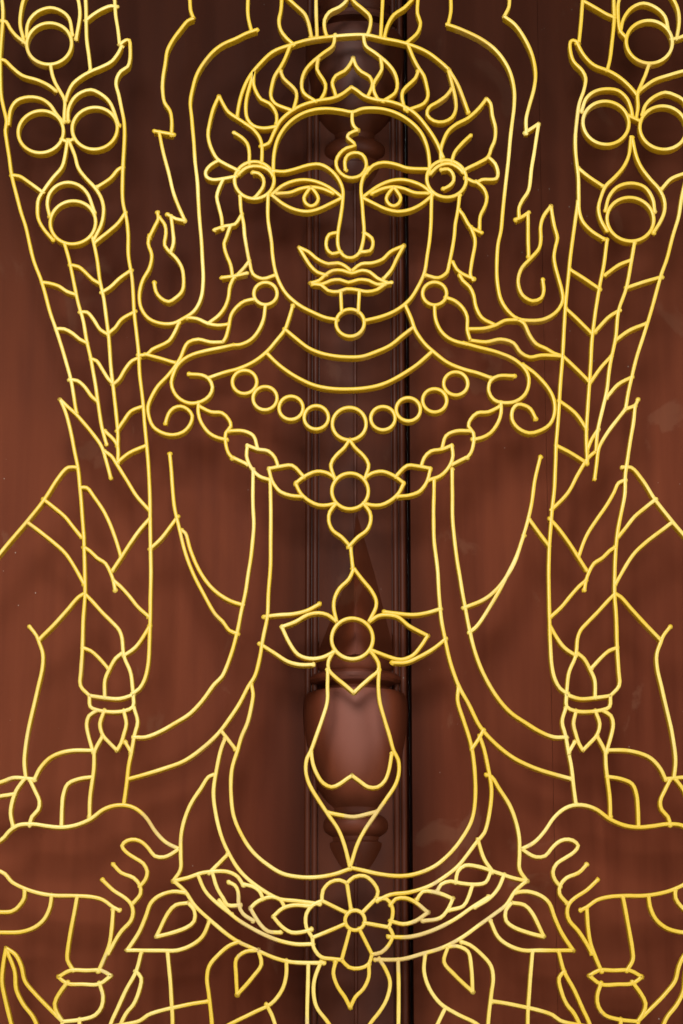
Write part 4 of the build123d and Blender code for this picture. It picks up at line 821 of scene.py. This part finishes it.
# Straps over the chest that run down round the belly; the two sides are a little unlike
leftStrap = [
    [(-181, 1510), (-179, 1492), (-178, 1478), (-176, 1457), (-171, 1436), (-164, 1408), (-156, 1387),
     (-145, 1366), (-133, 1345), (-126, 1338), (-119, 1329), (-111, 1326)],
    [(-168, 1431), (-164, 1428), (-159, 1411), (-152, 1394), (-142, 1378), (-131, 1367), (-118, 1359),
     (-106, 1355)],
    [(-172, 1445), (-180, 1434), (-189, 1422), (-199, 1412)],
    [(-97, 1494), (-97, 1460), (-96, 1436), (-98, 1408), (-101, 1387), (-104, 1366), (-108, 1346),
     (-112, 1325), (-117, 1306), (-126, 1283), (-133, 1276), (-145, 1259), (-157, 1246), (-171, 1237),
     (-185, 1229), (-200, 1223), (-212, 1223)],
    [(-80, 1484), (-79, 1452), (-79, 1425), (-79, 1394), (-81, 1366), (-82, 1341), (-86, 1320),
     (-89, 1301), (-94, 1283), (-100, 1273), (-108, 1257), (-117, 1243), (-128, 1228), (-142, 1214),
     (-161, 1200), (-182, 1192), (-201, 1186), (-216, 1182)],
    [(-97, 1275), (-95, 1266), (-97, 1252), (-101, 1236), (-106, 1224), (-110, 1210), (-115, 1192),
     (-116, 1169), (-113, 1146), (-105, 1127), (-94, 1111), (-80, 1099), (-65, 1090), (-49, 1087),
     (-31, 1087), (-14, 1090), (0, 1095)],
    [(-126, 1229), (-119, 1220), (-112, 1211)],
    [(-122, 1222), (-126, 1212), (-130, 1192), (-133, 1169), (-130, 1146), (-125, 1127), (-118, 1111),
     (-108, 1095), (-96, 1083), (-82, 1073), (-68, 1066), (-51, 1064), (-29, 1061)],
]
rightStrap = [
    [(192, 1507), (186, 1483), (182, 1457), (175, 1431), (167, 1407), (154, 1380), (140, 1355),
     (126, 1334), (118, 1327)],
    [(174, 1426), (160, 1390), (137, 1363), (113, 1352)],
    [(179, 1443), (188, 1430), (199, 1415)],
    [(103, 1494), (103, 1478), (103, 1443), (106, 1408), (110, 1380), (114, 1355), (118, 1332),
     (124, 1306), (133, 1283), (145, 1262), (157, 1248), (171, 1238), (185, 1229), (200, 1223),
     (212, 1223)],
    [(85, 1484), (84, 1452), (84, 1425), (87, 1394), (89, 1359), (91, 1338), (95, 1317), (100, 1294),
     (107, 1274), (116, 1257), (128, 1233), (142, 1217), (161, 1202), (182, 1192), (201, 1186),
     (216, 1182)],
    [(107, 1273), (106, 1259), (111, 1241), (117, 1222), (120, 1208), (122, 1187), (122, 1160),
     (118, 1141), (107, 1122), (95, 1108), (81, 1097), (63, 1090), (46, 1088), (28, 1090), (14, 1093),
     (0, 1096)],
    [(131, 1230), (126, 1221), (119, 1211)],
    [(127, 1224), (131, 1212), (135, 1192), (138, 1169), (135, 1146), (130, 1129), (124, 1122),
     (114, 1109), (104, 1097), (91, 1087), (76, 1078), (56, 1072), (39, 1070), (26, 1064)],
]

# Chest ornament and the cloth that hangs from it
chestOrnament = [
    [(1, 1414), (3, 1392)],
    [(4, 1392), (-1, 1381), (-10, 1372), (-15, 1362), (-16, 1353), (-13, 1338)],
    [(4, 1392), (13, 1380), (21, 1370), (26, 1360), (26, 1353), (19, 1338)],
    [(-13, 1338), (-22, 1345), (-31, 1347), (-42, 1345), (-54, 1338), (-67, 1333)],
    [(-67, 1332), (-60, 1317), (-51, 1305), (-40, 1301), (-28, 1302), (-15, 1308)],
    [(-85, 1343), (-70, 1345), (-56, 1346), (-43, 1349), (-30, 1356)],
    [(-89, 1316), (-75, 1307), (-61, 1298), (-49, 1295), (-36, 1295)],
    [(19, 1338), (28, 1344), (35, 1345), (47, 1343), (58, 1334), (67, 1329), (77, 1324)],
    [(77, 1324), (70, 1313), (62, 1304), (51, 1300), (41, 1302), (30, 1306), (20, 1310)],
    [(34, 1348), (49, 1346), (63, 1345), (76, 1347), (90, 1351)],
    [(42, 1297), (55, 1297), (67, 1302), (81, 1310), (95, 1321)],
    [(-16, 1308), (-21, 1299), (-21, 1290), (-15, 1283), (-5, 1275), (4, 1267)],
    [(21, 1308), (28, 1297), (28, 1289), (20, 1282), (11, 1274), (4, 1267)],
    [(-22, 1290), (-22, 1274), (-22, 1259), (-27, 1241), (-33, 1224), (-39, 1208), (-42, 1202),
     (-43, 1190), (-40, 1178), (-31, 1162), (-21, 1147), (-12, 1134), (-6, 1120), (0, 1096)],
    [(29, 1290), (28, 1276), (29, 1259), (34, 1241), (39, 1224), (43, 1209), (47, 1201), (48, 1190),
     (45, 1178), (35, 1162), (25, 1148), (14, 1132), (7, 1118), (0, 1096)],
    [(-38, 1209), (-36, 1197), (-32, 1187), (-26, 1178), (-18, 1174), (-10, 1177), (-3, 1182),
     (2, 1185)],
    [(2, 1185), (9, 1180), (18, 1174), (27, 1174), (34, 1180), (38, 1190), (41, 1207)],
    [(-21, 1149), (-10, 1147), (4, 1145), (14, 1147), (26, 1150)],
]
ornamentRing = [(2.4, 1321, 20.4)]

# Belt bands and links, with a seven-petalled flower at the middle
leftBelt = [
    [(-171, 1083), (-157, 1086), (-142, 1091), (-118, 1092), (-108, 1087), (-103, 1079)],
    [(-118, 1109), (-128, 1099), (-136, 1091)],
    [(-169, 1082), (-159, 1073), (-150, 1060), (-135, 1046), (-118, 1032), (-107, 1025), (-91, 1018),
     (-73, 1010), (-56, 1006), (-25, 1005)],
    [(-126, 1064), (-115, 1052), (-103, 1043), (-87, 1034), (-70, 1027), (-52, 1023), (-36, 1023)],
    [(-147, 1089), (-140, 1074), (-131, 1064), (-114, 1051)],
    [(-133, 1091), (-128, 1076), (-122, 1066), (-118, 1060), (-106, 1060)],
    [(-117, 1082), (-111, 1079), (-108, 1073), (-107, 1060), (-103, 1052), (-93, 1045)],
    [(-103, 1080), (-94, 1078), (-87, 1073), (-84, 1066)],
    [(-96, 1057), (-91, 1062), (-84, 1066), (-75, 1068), (-67, 1065), (-63, 1058)],
    [(-96, 1057), (-92, 1050), (-86, 1041), (-79, 1035), (-67, 1034)],
    [(-74, 1049), (-65, 1057), (-54, 1060), (-38, 1059)],
    [(-74, 1049), (-66, 1040), (-56, 1034), (-43, 1035), (-37, 1037)],
    [(-14, 1006), (-16, 995), (-12, 983), (-5, 973), (0, 963)],
]
rightBelt = [
    [(171, 1083), (157, 1086), (142, 1091), (124, 1097), (111, 1098), (104, 1092), (102, 1082)],
    [(124, 1123), (130, 1104), (138, 1092)],
    [(169, 1082), (159, 1073), (150, 1060), (137, 1050), (124, 1041), (107, 1029), (90, 1020),
     (70, 1014), (51, 1009), (24, 1008)],
    [(134, 1068), (124, 1062), (116, 1057), (100, 1046), (79, 1036), (58, 1030), (37, 1030)],
    [(149, 1089), (143, 1076), (134, 1066), (120, 1058)],
    [(136, 1092), (131, 1082), (124, 1080), (107, 1081), (97, 1083), (88, 1080), (84, 1073)],
    [(118, 1079), (114, 1067), (109, 1059), (95, 1055)],
    [(64, 1065), (70, 1073), (79, 1073), (90, 1070), (99, 1066)],
    [(99, 1066), (95, 1057), (87, 1048), (70, 1045)],
    [(39, 1060), (44, 1066), (53, 1067), (63, 1063), (75, 1053)],
    [(75, 1053), (63, 1045), (51, 1042), (39, 1045)],
    [(18, 1004), (18, 992), (13, 981), (5, 973), (0, 963)],
]
flower = [
    [(-27, 1064), (-26, 1074), (-19, 1082), (-10, 1084), (-3, 1081)],
    [(-3, 1081), (4, 1087), (14, 1088), (23, 1081), (27, 1073), (25, 1066)],
    [(25, 1066), (35, 1066), (41, 1057), (40, 1046), (37, 1039)],
    [(37, 1039), (41, 1032), (37, 1022), (30, 1015), (21, 1013)],
    [(21, 1013), (18, 1004), (9, 1000), (-1, 1001), (-8, 1008)],
    [(-8, 1008), (-17, 1009), (-28, 1011), (-35, 1020), (-36, 1029)],
    [(-36, 1029), (-42, 1039), (-42, 1052), (-36, 1060), (-27, 1064)],
    [(-3, 1081), (1, 1056)],
    [(25, 1066), (12, 1053)],
    [(37, 1039), (14, 1043)],
    [(21, 1013), (9, 1037)],
    [(-8, 1008), (0, 1037)],
    [(-36, 1029), (-5, 1042)],
    [(-27, 1064), (-4, 1053)],
]
flowerRing = [(4.7, 1045.5, 9.5)]

# Arms, from the shoulder round the elbow to the hand
arm = [
    [(-274, 1496), (-283, 1496), (-294, 1483), (-306, 1463), (-322, 1441), (-348, 1408), (-400, 1335),
     (-446, 1262), (-452, 1200), (-436, 1130), (-400, 1078), (-358, 1057), (-326, 1054), (-319, 1059),
     (-314, 1067), (-314, 1075)],
    [(-307, 1463), (-298, 1456), (-285, 1445), (-277, 1435), (-268, 1424)],
    [(-322, 1439), (-310, 1430), (-296, 1419), (-284, 1408), (-275, 1395), (-264, 1376)],
    [(-317, 1333), (-310, 1324), (-307, 1317), (-303, 1306), (-303, 1292), (-307, 1271), (-312, 1246),
     (-316, 1224), (-318, 1199), (-316, 1183)],
    [(-307, 1320), (-294, 1334), (-280, 1350), (-269, 1363), (-264, 1366)],
    [(-449, 1176), (-390, 1174), (-340, 1179), (-329, 1183), (-308, 1182)],
    [(-446, 1157), (-390, 1158), (-340, 1165), (-327, 1167)],
    [(-318, 1181), (-325, 1171), (-329, 1159), (-330, 1148), (-327, 1136)],
    [(-312, 1181), (-307, 1171), (-302, 1160), (-303, 1152), (-309, 1145), (-311, 1137)],
    [(-308, 1181), (-303, 1192), (-294, 1202), (-284, 1207), (-270, 1210), (-251, 1210)],
    [(-434, 1126), (-380, 1110), (-338, 1123), (-331, 1131), (-322, 1137), (-308, 1138), (-294, 1136),
     (-280, 1135), (-266, 1137), (-252, 1143), (-240, 1152), (-229, 1156), (-217, 1156), (-207, 1152),
     (-198, 1144), (-189, 1131), (-178, 1120), (-166, 1114)],
    [(-166, 1114), (-173, 1109), (-180, 1106), (-189, 1107), (-195, 1114), (-201, 1120), (-208, 1123),
     (-216, 1122), (-221, 1117), (-217, 1111), (-208, 1105), (-200, 1100), (-196, 1092), (-198, 1084),
     (-203, 1078)],
    [(-229, 1099), (-221, 1091), (-209, 1086), (-203, 1079), (-202, 1071), (-209, 1062)],
    [(-239, 1084), (-228, 1074), (-217, 1067), (-211, 1061), (-209, 1053), (-211, 1045), (-219, 1036),
     (-225, 1027), (-232, 1014)],
    [(-407, 1085), (-337, 1092), (-326, 1082), (-312, 1075), (-298, 1071), (-284, 1069), (-266, 1069),
     (-249, 1068), (-238, 1065), (-228, 1058), (-222, 1055)],
    [(-288, 1069), (-289, 1059), (-294, 1047), (-303, 1039), (-314, 1035), (-326, 1034), (-370, 1040),
     (-400, 1078)],
]

# Clubs that the hands rest on, standing on the bottom rail
club = [
    [(-228, 1056), (-229, 1038), (-231, 1023), (-235, 1011), (-241, 997)],
    [(-263, 1068), (-266, 1050), (-269, 1032), (-271, 1016), (-271, 1008), (-265, 998)],
    [(-279, 992), (-268, 998), (-252, 998), (-238, 998), (-229, 993)],
    [(-279, 992), (-271, 986), (-256, 985), (-240, 985), (-229, 993)],
    [(-270, 987), (-278, 976), (-282, 967), (-280, 959), (-274, 950)],
    [(-240, 986), (-236, 974), (-237, 964), (-243, 956), (-256, 952), (-274, 950)],
    [(-274, 950), (-283, 870), (-285, 500), (-281, 190)],
    [(-281, 190), (-281, patternBase)],
    [(-258, 952), (-254, 870), (-254, 500), (-256, 190)],
    [(-256, 190), (-256, patternBase)],
    [(-330, 1019), (-332, 1006), (-333, 988), (-330, 973), (-323, 948), (-303, 890), (-284, 850)],
    [(-330, 1019), (-321, 1013), (-315, 1002), (-311, 988), (-301, 976), (-291, 966), (-274, 950)],
    [(-329, 1016), (-321, 997), (-319, 980), (-312, 966), (-301, 952), (-290, 920)],
]

# Side panels of the robe
skirt = [
    [(-133, 1186), (-138, 1184), (-145, 1173), (-155, 1157), (-161, 1141), (-164, 1125), (-164, 1108),
     (-164, 1094), (-171, 1083)],
    [(-159, 1072), (-171, 1073), (-184, 1069), (-192, 1062), (-197, 1048), (-203, 1034), (-214, 1017)],
    [(-214, 1017), (-200, 1017), (-182, 1017), (-166, 1017), (-152, 1022), (-142, 1030), (-135, 1045)],
    [(-156, 1062), (-168, 1060), (-175, 1053), (-186, 1030)],
    [(-186, 1030), (-170, 1034), (-157, 1039), (-150, 1045), (-150, 1055), (-156, 1062)],
    [(-175, 1016), (-173, 997), (-171, 976), (-169, 940), (-180, 700), (-198, 400), (-203, 190)],
    [(-203, 190), (-203, patternBase)],
    [(-200, 1016), (-205, 997), (-214, 980), (-222, 962), (-229, 945), (-238, 880), (-240, 700)],
    [(-240, 700), (-240, patternBase)],
    [(-205, 997), (-200, 991), (-202, 978), (-207, 966), (-214, 957), (-235, 905)],
    [(-229, 945), (-200, 951), (-193, 956), (-178, 961), (-164, 964), (-149, 967), (-136, 969)],
]

# Front panel of the robe
skirtFront = [
    [(-28, 1006), (-34, 990), (-35, 978), (-32, 964), (-21, 949), (0, 915)],
    [(28, 1009), (34, 999), (38, 987), (35, 971), (28, 959), (20, 949), (0, 915)],
    [(-40, 1005), (-41, 949), (-41, patternBase)],
    [(46, 1008), (46, 949), (41, 880), (41, patternBase)],
    [(-61, 1007), (-61, 994), (-65, 980), (-75, 967), (-91, 959), (-112, 949), (-131, 938)],
    [(72, 1013), (71, 997), (76, 981), (86, 967), (102, 957), (120, 948), (131, 938)],
    [(-80, 966), (-75, 957), (-72, 949), (-60, 915), (-41, 890)],
    [(91, 963), (87, 955), (84, 949), (66, 915), (41, 890)],
    [(-88, 1017), (-85, 1004), (-93, 992), (-108, 975)],
    [(-108, 975), (-109, 994), (-109, 1009), (-100, 1016), (-88, 1017)],
    [(94, 1020), (90, 1006), (100, 994), (117, 978)],
    [(117, 978), (116, 1002), (113, 1016), (102, 1021), (94, 1020)],
]
skirtSide = [
    [(-107, 1025), (-115, 1022), (-126, 1013), (-135, 1002), (-137, 990), (-135, 976), (-131, 938),
     (-140, 700), (-158, 400), (-165, 190)],
    [(-165, 190), (-165, patternBase)],
]


# a smooth centripetal line through the points, sampled closely
def smoothRun(points, step):
    if len(points) == 2:
        count = max(2, int((points[1] - points[0]).length / step))
        return [points[0].lerp(points[1], k / count) for k in range(count + 1)]
    ends = [points[0] * 2 - points[1]] + points + [points[-1] * 2 - points[-2]]
    run = []
    for before, start, stop, after in zip(ends, ends[1:], ends[2:], ends[3:]):
        first = math.sqrt((start - before).length)
        middle = math.sqrt((stop - start).length)
        last = math.sqrt((after - stop).length)
        chord = (stop - start) / middle
        leave = ((start - before) / first - (stop - before) / (first + middle) + chord) * middle
        reach = (chord - (after - start) / (middle + last) + (after - stop) / last) * middle
        count = max(2, int((stop - start).length / step))
        for k in range(count):
            t = k / count
            run.append(start * (2 * t**3 - 3 * t**2 + 1) + leave * (t**3 - 2 * t**2 + t)
                       + stop * (3 * t**2 - 2 * t**3) + reach * (t**3 - t**2))
    run.append(points[-1].copy())
    return run


# the front edge of every bar lies at its own depth, so no two faces share a plane where bars meet
def barSection(look, setback):
    half = look["thickness"] / 2
    soft = look["round"]
    near = look["cornerNear"] * soft
    far = look["cornerFar"] * soft
    front = barFront + setback
    rear = barBack - setback
    return [(half, rear), (half, front + soft), (half - near, front + near), (half - far, front),
            (-half + far, front), (-half + near, front + near), (-half, front + soft), (-half, rear)]


def addBar(verts, faces, points, look, closed=False):
    run = points if closed else smoothRun(points, look["step"])
    seat = Vector((run[0].x, run[0].y, run[-1].x)) * look["setbackGrain"]
    section = barSection(look, look["setback"] * (1 + noise.noise(seat)))
    base = len(verts)
    count = len(run)
    for k, point in enumerate(run):
        before = run[k - 1] if k or closed else point
        after = run[(k + 1) % count] if k < count - 1 or closed else point
        way = (after - before).normalized()
        across = Vector((-way.y, way.x))
        swell = 1 + look["swell"] * noise.noise(Vector((point.x, point.y, 0.0)) * look["swellGrain"])
        layer = Vector((point.x, look["swayLayer"], point.y)) * look["swayGrain"]
        sway = look["sway"] * noise.noise(layer)
        for offset, depth in section:
            spot = point + across * (offset * swell + sway)
            verts.append((spot.x, depth, spot.y))
    width = len(section)
    for k in range(count if closed else count - 1):
        here = base + k * width
        there = base + ((k + 1) % count) * width
        for j in range(width):
            following = (j + 1) % width
            faces.append((here + j, here + following, there + following, there + j))
    if not closed:
        faces.append(tuple(base + j for j in reversed(range(width))))
        faces.append(tuple(base + (count - 1) * width + j for j in range(width)))


weldLook = {
    "size": 2.8 * mm, "flat": 0.8, "rings": 4, "segments": 8, "uneven": 0.25, "grain": 300,
    "ringStep": 1.7, "turnStep": 1.3,
}


# a small uneven lump of weld under paint where a bar ends
def addWeld(verts, faces, point, look):
    base = len(verts)
    rings = look["rings"]
    segments = look["segments"]
    grain = look["grain"]
    depth = look["flat"] * look["size"]
    middle = barFront + depth
    for ring in range(1, rings):
        tilt = math.pi * ring / rings
        for turn in range(segments):
            angle = 2 * math.pi * turn / segments
            turned = turn * look["turnStep"] + point.y * grain
            lump = noise.noise(Vector((point.x * grain, ring * look["ringStep"], turned)))
            reach = look["size"] * math.sin(tilt) * (1 + look["uneven"] * lump)
            verts.append((point.x + reach * math.cos(angle), middle - depth * math.cos(tilt),
                          point.y + reach * math.sin(angle)))
    verts.append((point.x, middle - depth, point.y))
    verts.append((point.x, middle + depth, point.y))
    near = len(verts) - 2
    far = len(verts) - 1
    for turn in range(segments):
        following = (turn + 1) % segments
        faces.append((near, base + turn, base + following))
        for ring in range(rings - 2):
            here = base + ring * segments
            there = here + segments
            faces.append((here + turn, there + turn, there + following, here + following))
        last = base + (rings - 2) * segments
        faces.append((far, last + following, last + turn))


def onGate(across, up):
    return Vector((across * mm + figureMiddle, up * mm))


def makeFigurePiece(node, bars, rings=()):
    verts = []
    faces = []
    for points in bars:
        run = [onGate(across, up) for across, up in points]
        addBar(verts, faces, run, barLook)
        for end in (run[0], run[-1]):
            addWeld(verts, faces, end, weldLook)
    for across, up, radius in rings:
        centre = onGate(across, up)
        sides = max(barLook["ringSides"], int(radius * barLook["sidesPerMm"]))
        angles = [2 * math.pi * k / sides for k in range(sides)]
        circle = [centre + Vector((math.cos(a), math.sin(a))) * radius * mm for a in angles]
        addBar(verts, faces, circle, barLook, closed=True)
    piece = makeObject(node.replace("_", " ").title().replace(" ", "") + "Bars", verts, faces)
    shadeByAngle(piece, barLook["sharpest"])
    piece.data.materials.append(goldPaint)
    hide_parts(node)
    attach(piece, "gate")


makeFigurePiece("headdress_top", headdressTop)
bandFlames = headdressFlames + leftFlame + rightFlame + flipped(headdressFlames)
makeFigurePiece("headdress_band", headdressBand + bandFlames)
makeFigurePiece("face", face + leftEye + rightEye, faceRings)
makeFigurePiece("left_plume", leftPlume + leftFeathers + plumeLow, leftPlumeRings)
makeFigurePiece("right_plume", rightPlume + flipped(plumeLow), rightPlumeRings)
makeFigurePiece("left_streamer", leftStreamer)
makeFigurePiece("right_streamer", rightStreamer)
makeFigurePiece("left_ear_ornament", leftEarOrnament, leftEarRings)
makeFigurePiece("right_ear_ornament", rightEarOrnament, rightEarRings)
makeFigurePiece("left_shoulder", leftShoulder)
makeFigurePiece("right_shoulder", rightShoulder)
# these lists are of the left side, and the right side is the same flipped
for hand, placed, stileFace in (("left", list, leftStileFace), ("right", flipped, rightStileFace)):
    makeFigurePiece(hand + "_staff", placed(staff))
    makeFigurePiece(hand + "_arm", placed(arm + [[elbow, (stileFace, elbow[1])]]))
    makeFigurePiece(hand + "_club", placed(club))
    makeFigurePiece(hand + "_skirt", placed(skirt))
makeFigurePiece("left_strap", leftStrap)
makeFigurePiece("right_strap", rightStrap)
makeFigurePiece("collar", collarLines, collarBeads)
makeFigurePiece("leaf_necklace", leafNecklace + flipped(leafNecklace), necklaceRing)
makeFigurePiece("chest_ornament", chestOrnament, ornamentRing)
makeFigurePiece("belt", leftBelt + rightBelt + flower, flowerRing)
makeFigurePiece("skirt_front", skirtFront + skirtSide + flipped(skirtSide))
print("figure bars made")

# astragal: beads, raised field, fine ridge and three turned bosses, in mm from the leaf's face

astragalLook = {
    "half": 51.5, "base": 8, "bead": 6.2, "beadRise": 3, "groove": 1, "fieldTop": 17, "ridge": 1.7,
    "ridgeRise": 3.6, "beads": 2, "beadSteps": 8, "grooveFloor": 2.5, "fieldInset": 1, "fieldDrop": 0.5,
    "ridgeShoulder": 0.7, "ridgeCrown": 0.5, "bottom": 118, "top": 2382, "sharpest": 32,
}
bossLook = {
    "apexes": (2188, 1468, 748), "half": 46, "front": 47, "flank": 3, "crest": 2, "pyramid": 156,
    "tip": 0.04, "oval": 1.08, "segments": 40,
}


def astragalProfile(look):
    half = look["half"]
    base = -look["base"]
    steps = look["beadSteps"]
    bead = look["bead"]
    points = [(-half, 0), (-half, base)]
    start = half
    for _ in range(look["beads"]):
        for k in range(1, steps + 1):
            turn = math.pi * k / steps
            middle = start - bead / 2
            points.append((-middle - bead / 2 * math.cos(turn), base - look["beadRise"] * math.sin(turn)))
        start -= bead
        points.append((-start, base + look["grooveFloor"]))
        start -= look["groove"]
        points.append((-start, base + look["grooveFloor"]))
        points.append((-start, base))
    ridge = look["ridge"]
    field = -look["fieldTop"]
    points.append((-start + look["fieldInset"], base - look["fieldDrop"]))
    points.append((-ridge, field))
    points.append((-ridge, field - look["ridgeShoulder"] * look["ridgeRise"]))
    points.append((-look["ridgeCrown"] * ridge, field - look["ridgeRise"]))
    return points + [(-x, y) for x, y in reversed(points)]


def addExtrusion(verts, faces, profile, low, high):
    base = len(verts)
    count = len(profile)
    for z in (low, high):
        verts += [(x * mm, y * mm, z * mm) for x, y in profile]
    for j in range(count):
        following = (j + 1) % count
        faces.append((base + j, base + following, base + count + following, base + count + j))
    faces.append(tuple(base + j for j in reversed(range(count))))
    faces.append(tuple(base + count + j for j in range(count)))


# distance below the apex and radius of the turning there
bossTurning = [
    (155, 20), (155, 36), (163, 36.5), (168, 34), (170, 40), (173, 43.5), (177, 44), (180, 42), (182, 35),
    (184, 33), (187, 34), (188, 42), (190, 46.5), (195, 48.6), (203, 49.2), (214, 49.2), (228, 48.4),
    (243, 46.6), (257, 44), (271, 41), (283, 37.5), (292, 33.5), (299, 29), (303, 26), (306, 23.5),
    (312, 23), (314, 27), (317, 30), (321, 31.5), (326, 31.5), (330, 30), (333, 27), (335, 24.5), (339, 24),
    (341, 26.5), (346, 26), (356, 22.5), (370, 17.5), (384, 11), (393, 6), (400, 0.4),
]


# a pyramid over a turned bulb, from its apex down; crest is how far the strip's ridge stands out there
def addBoss(verts, faces, apex, crest, look):
    base = len(verts)
    segments = look["segments"]
    for down, radius in bossTurning:
        for k in range(segments + 1):
            turn = math.pi * k / segments
            verts.append((-look["oval"] * radius * math.cos(turn) * mm, -radius * math.sin(turn) * mm,
                          (apex - down) * mm))
    count = segments + 1
    for row in range(len(bossTurning) - 1):
        for k in range(segments):
            here = base + row * count + k
            faces.append((here, here + count, here + count + 1, here + 1))
    tip = len(verts)
    half = look["half"]
    front = look["front"]
    flank = look["flank"]
    edge = look["crest"]
    outline = [(-half, 0), (-half, -flank), (-edge, -front + edge), (0, -front), (edge, -front + edge),
               (half, -flank), (half, 0)]
    for x, y in outline:
        verts.append((x * look["tip"] * mm, (y * crest / front) * mm, apex * mm))
    for x, y in outline:
        verts.append((x * mm, y * mm, (apex - look["pyramid"]) * mm))
    width = len(outline)
    for k in range(width - 1):
        faces.append((tip + k, tip + width + k, tip + width + k + 1, tip + k + 1))
    faces.append(tuple(tip + width + k for k in reversed(range(width))))
    faces.append(tuple(tip + k for k in range(width)))


def makeAstragal(look, boss):
    verts = []
    faces = []
    addExtrusion(verts, faces, astragalProfile(look), look["bottom"], look["top"])
    for apex in boss["apexes"]:
        addBoss(verts, faces, apex, look["fieldTop"] + look["ridgeRise"], boss)
    piece = makeObject("carvedAstragal", verts, faces)
    shadeByAngle(piece, look["sharpest"])
    piece.data.materials.append(carvedPaint)
    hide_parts("astragal")
    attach(piece, "left_leaf")


makeAstragal(astragalLook, bossLook)
print("astragal made")

# left leaf: its board joints are filled with paint in front and open behind

leftLeafLook = {
    "front": 51.5, "corner": 1, "step": 14, "rear": 54.5, "thick": 40, "boards": 4, "joint": 0.5,
    "jointDeep": 1.5,
}


def makeLeftLeaf(look):
    low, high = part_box("left_leaf_boards")
    hingeEdge = low.x / mm
    corner = look["corner"]
    profile = [(hingeEdge, 0), (look["front"] - corner, 0), (look["front"], corner),
               (look["rear"], look["step"]), (look["rear"], look["thick"])]
    for board in range(look["boards"] - 1, 0, -1):
        joint = hingeEdge + (look["front"] - hingeEdge) * board / look["boards"]
        profile += [(joint + look["joint"], look["thick"]), (joint, look["thick"] - look["jointDeep"]),
                    (joint - look["joint"], look["thick"])]
    profile.append((hingeEdge, look["thick"]))
    verts = []
    faces = []
    addExtrusion(verts, faces, profile, low.z / mm, high.z / mm)
    piece = makeObject("leftLeafPanel", verts, faces, smooth=False)
    piece.data.materials.append(leafPaint)
    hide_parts("left_leaf_boards")
    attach(piece, "left_leaf")


makeLeftLeaf(leftLeafLook)
print("left leaf made")

# floor, light and camera

stageLook = {
    "floor": (0.82, 0.81, 0.79), "floorRoughness": 0.7, "floorTop": -0.0005, "size": 14.0,
    "sky": (0.93, 0.95, 1.0), "skyStrength": 0.2,
}


def makeFloor(look):
    half = look["size"] / 2
    top = look["floorTop"]
    corners = [(-half, -half, top), (half, -half, top), (half, half, top), (-half, half, top)]
    floor = makeObject("paleFloor", corners, [(0, 1, 2, 3)], smooth=False)
    material, _, shader = newMaterial("paleFloorPaint", look["floorRoughness"])
    shader.inputs["Base Color"].default_value = (*look["floor"], 1.0)
    floor.data.materials.append(material)


def makeWorld(look):
    world = bpy.data.worlds.new("studioWorld")
    world.use_nodes = True
    background = world.node_tree.nodes["Background"]
    background.inputs["Color"].default_value = (*look["sky"], 1.0)
    background.inputs["Strength"].default_value = look["skyStrength"]
    scene.world = world


studioLights = [
    {"name": "keyLight", "place": (-0.5, -3.6, 2.6), "target": (0.0, 0.0, 1.2), "size": (1.4, 1.2),
     "power": 105.0, "color": (1.0, 0.98, 0.94)},
    {"name": "frontFill", "place": (2.4, -3.4, 1.2), "target": (0.0, 0.0, 1.2), "size": (1.6, 2.2),
     "power": 34.0, "color": (1.0, 0.97, 0.93)},
    {"name": "backFill", "place": (-1.5, 3.5, 2.6), "target": (0.0, 0.0, 1.3), "size": (2.5, 2.0),
     "power": 50.0, "color": (1.0, 0.98, 0.96)},
]


def addSoftLight(name, place, target, size, power, color):
    lamp = bpy.data.lights.new(name, "AREA")
    lamp.shape = "RECTANGLE"
    lamp.size, lamp.size_y = size
    lamp.energy = power
    lamp.color = color
    holder = bpy.data.objects.new(name, lamp)
    holder.location = place
    holder.rotation_euler = (Vector(target) - Vector(place)).to_track_quat("-Z", "Y").to_euler()
    scene.collection.objects.link(holder)


cameraLook = {"place": (-0.0142, -2.482, 0.86), "pitch": 13.8, "lens": 86.87, "sensor": 36.0}


def makeCamera(look):
    lens = bpy.data.cameras.new("doorCamera")
    lens.sensor_fit = "VERTICAL"
    lens.sensor_height = look["sensor"]
    lens.lens = look["lens"]
    camera = bpy.data.objects.new("doorCamera", lens)
    camera.location = look["place"]
    camera.rotation_euler = (math.radians(90 + look["pitch"]), 0.0, 0.0)
    scene.collection.objects.link(camera)
    scene.camera = camera


makeFloor(stageLook)
makeWorld(stageLook)
for light in studioLights:
    addSoftLight(**light)
makeCamera(cameraLook)
scene.view_settings.view_transform = "Standard"
print("stage set")
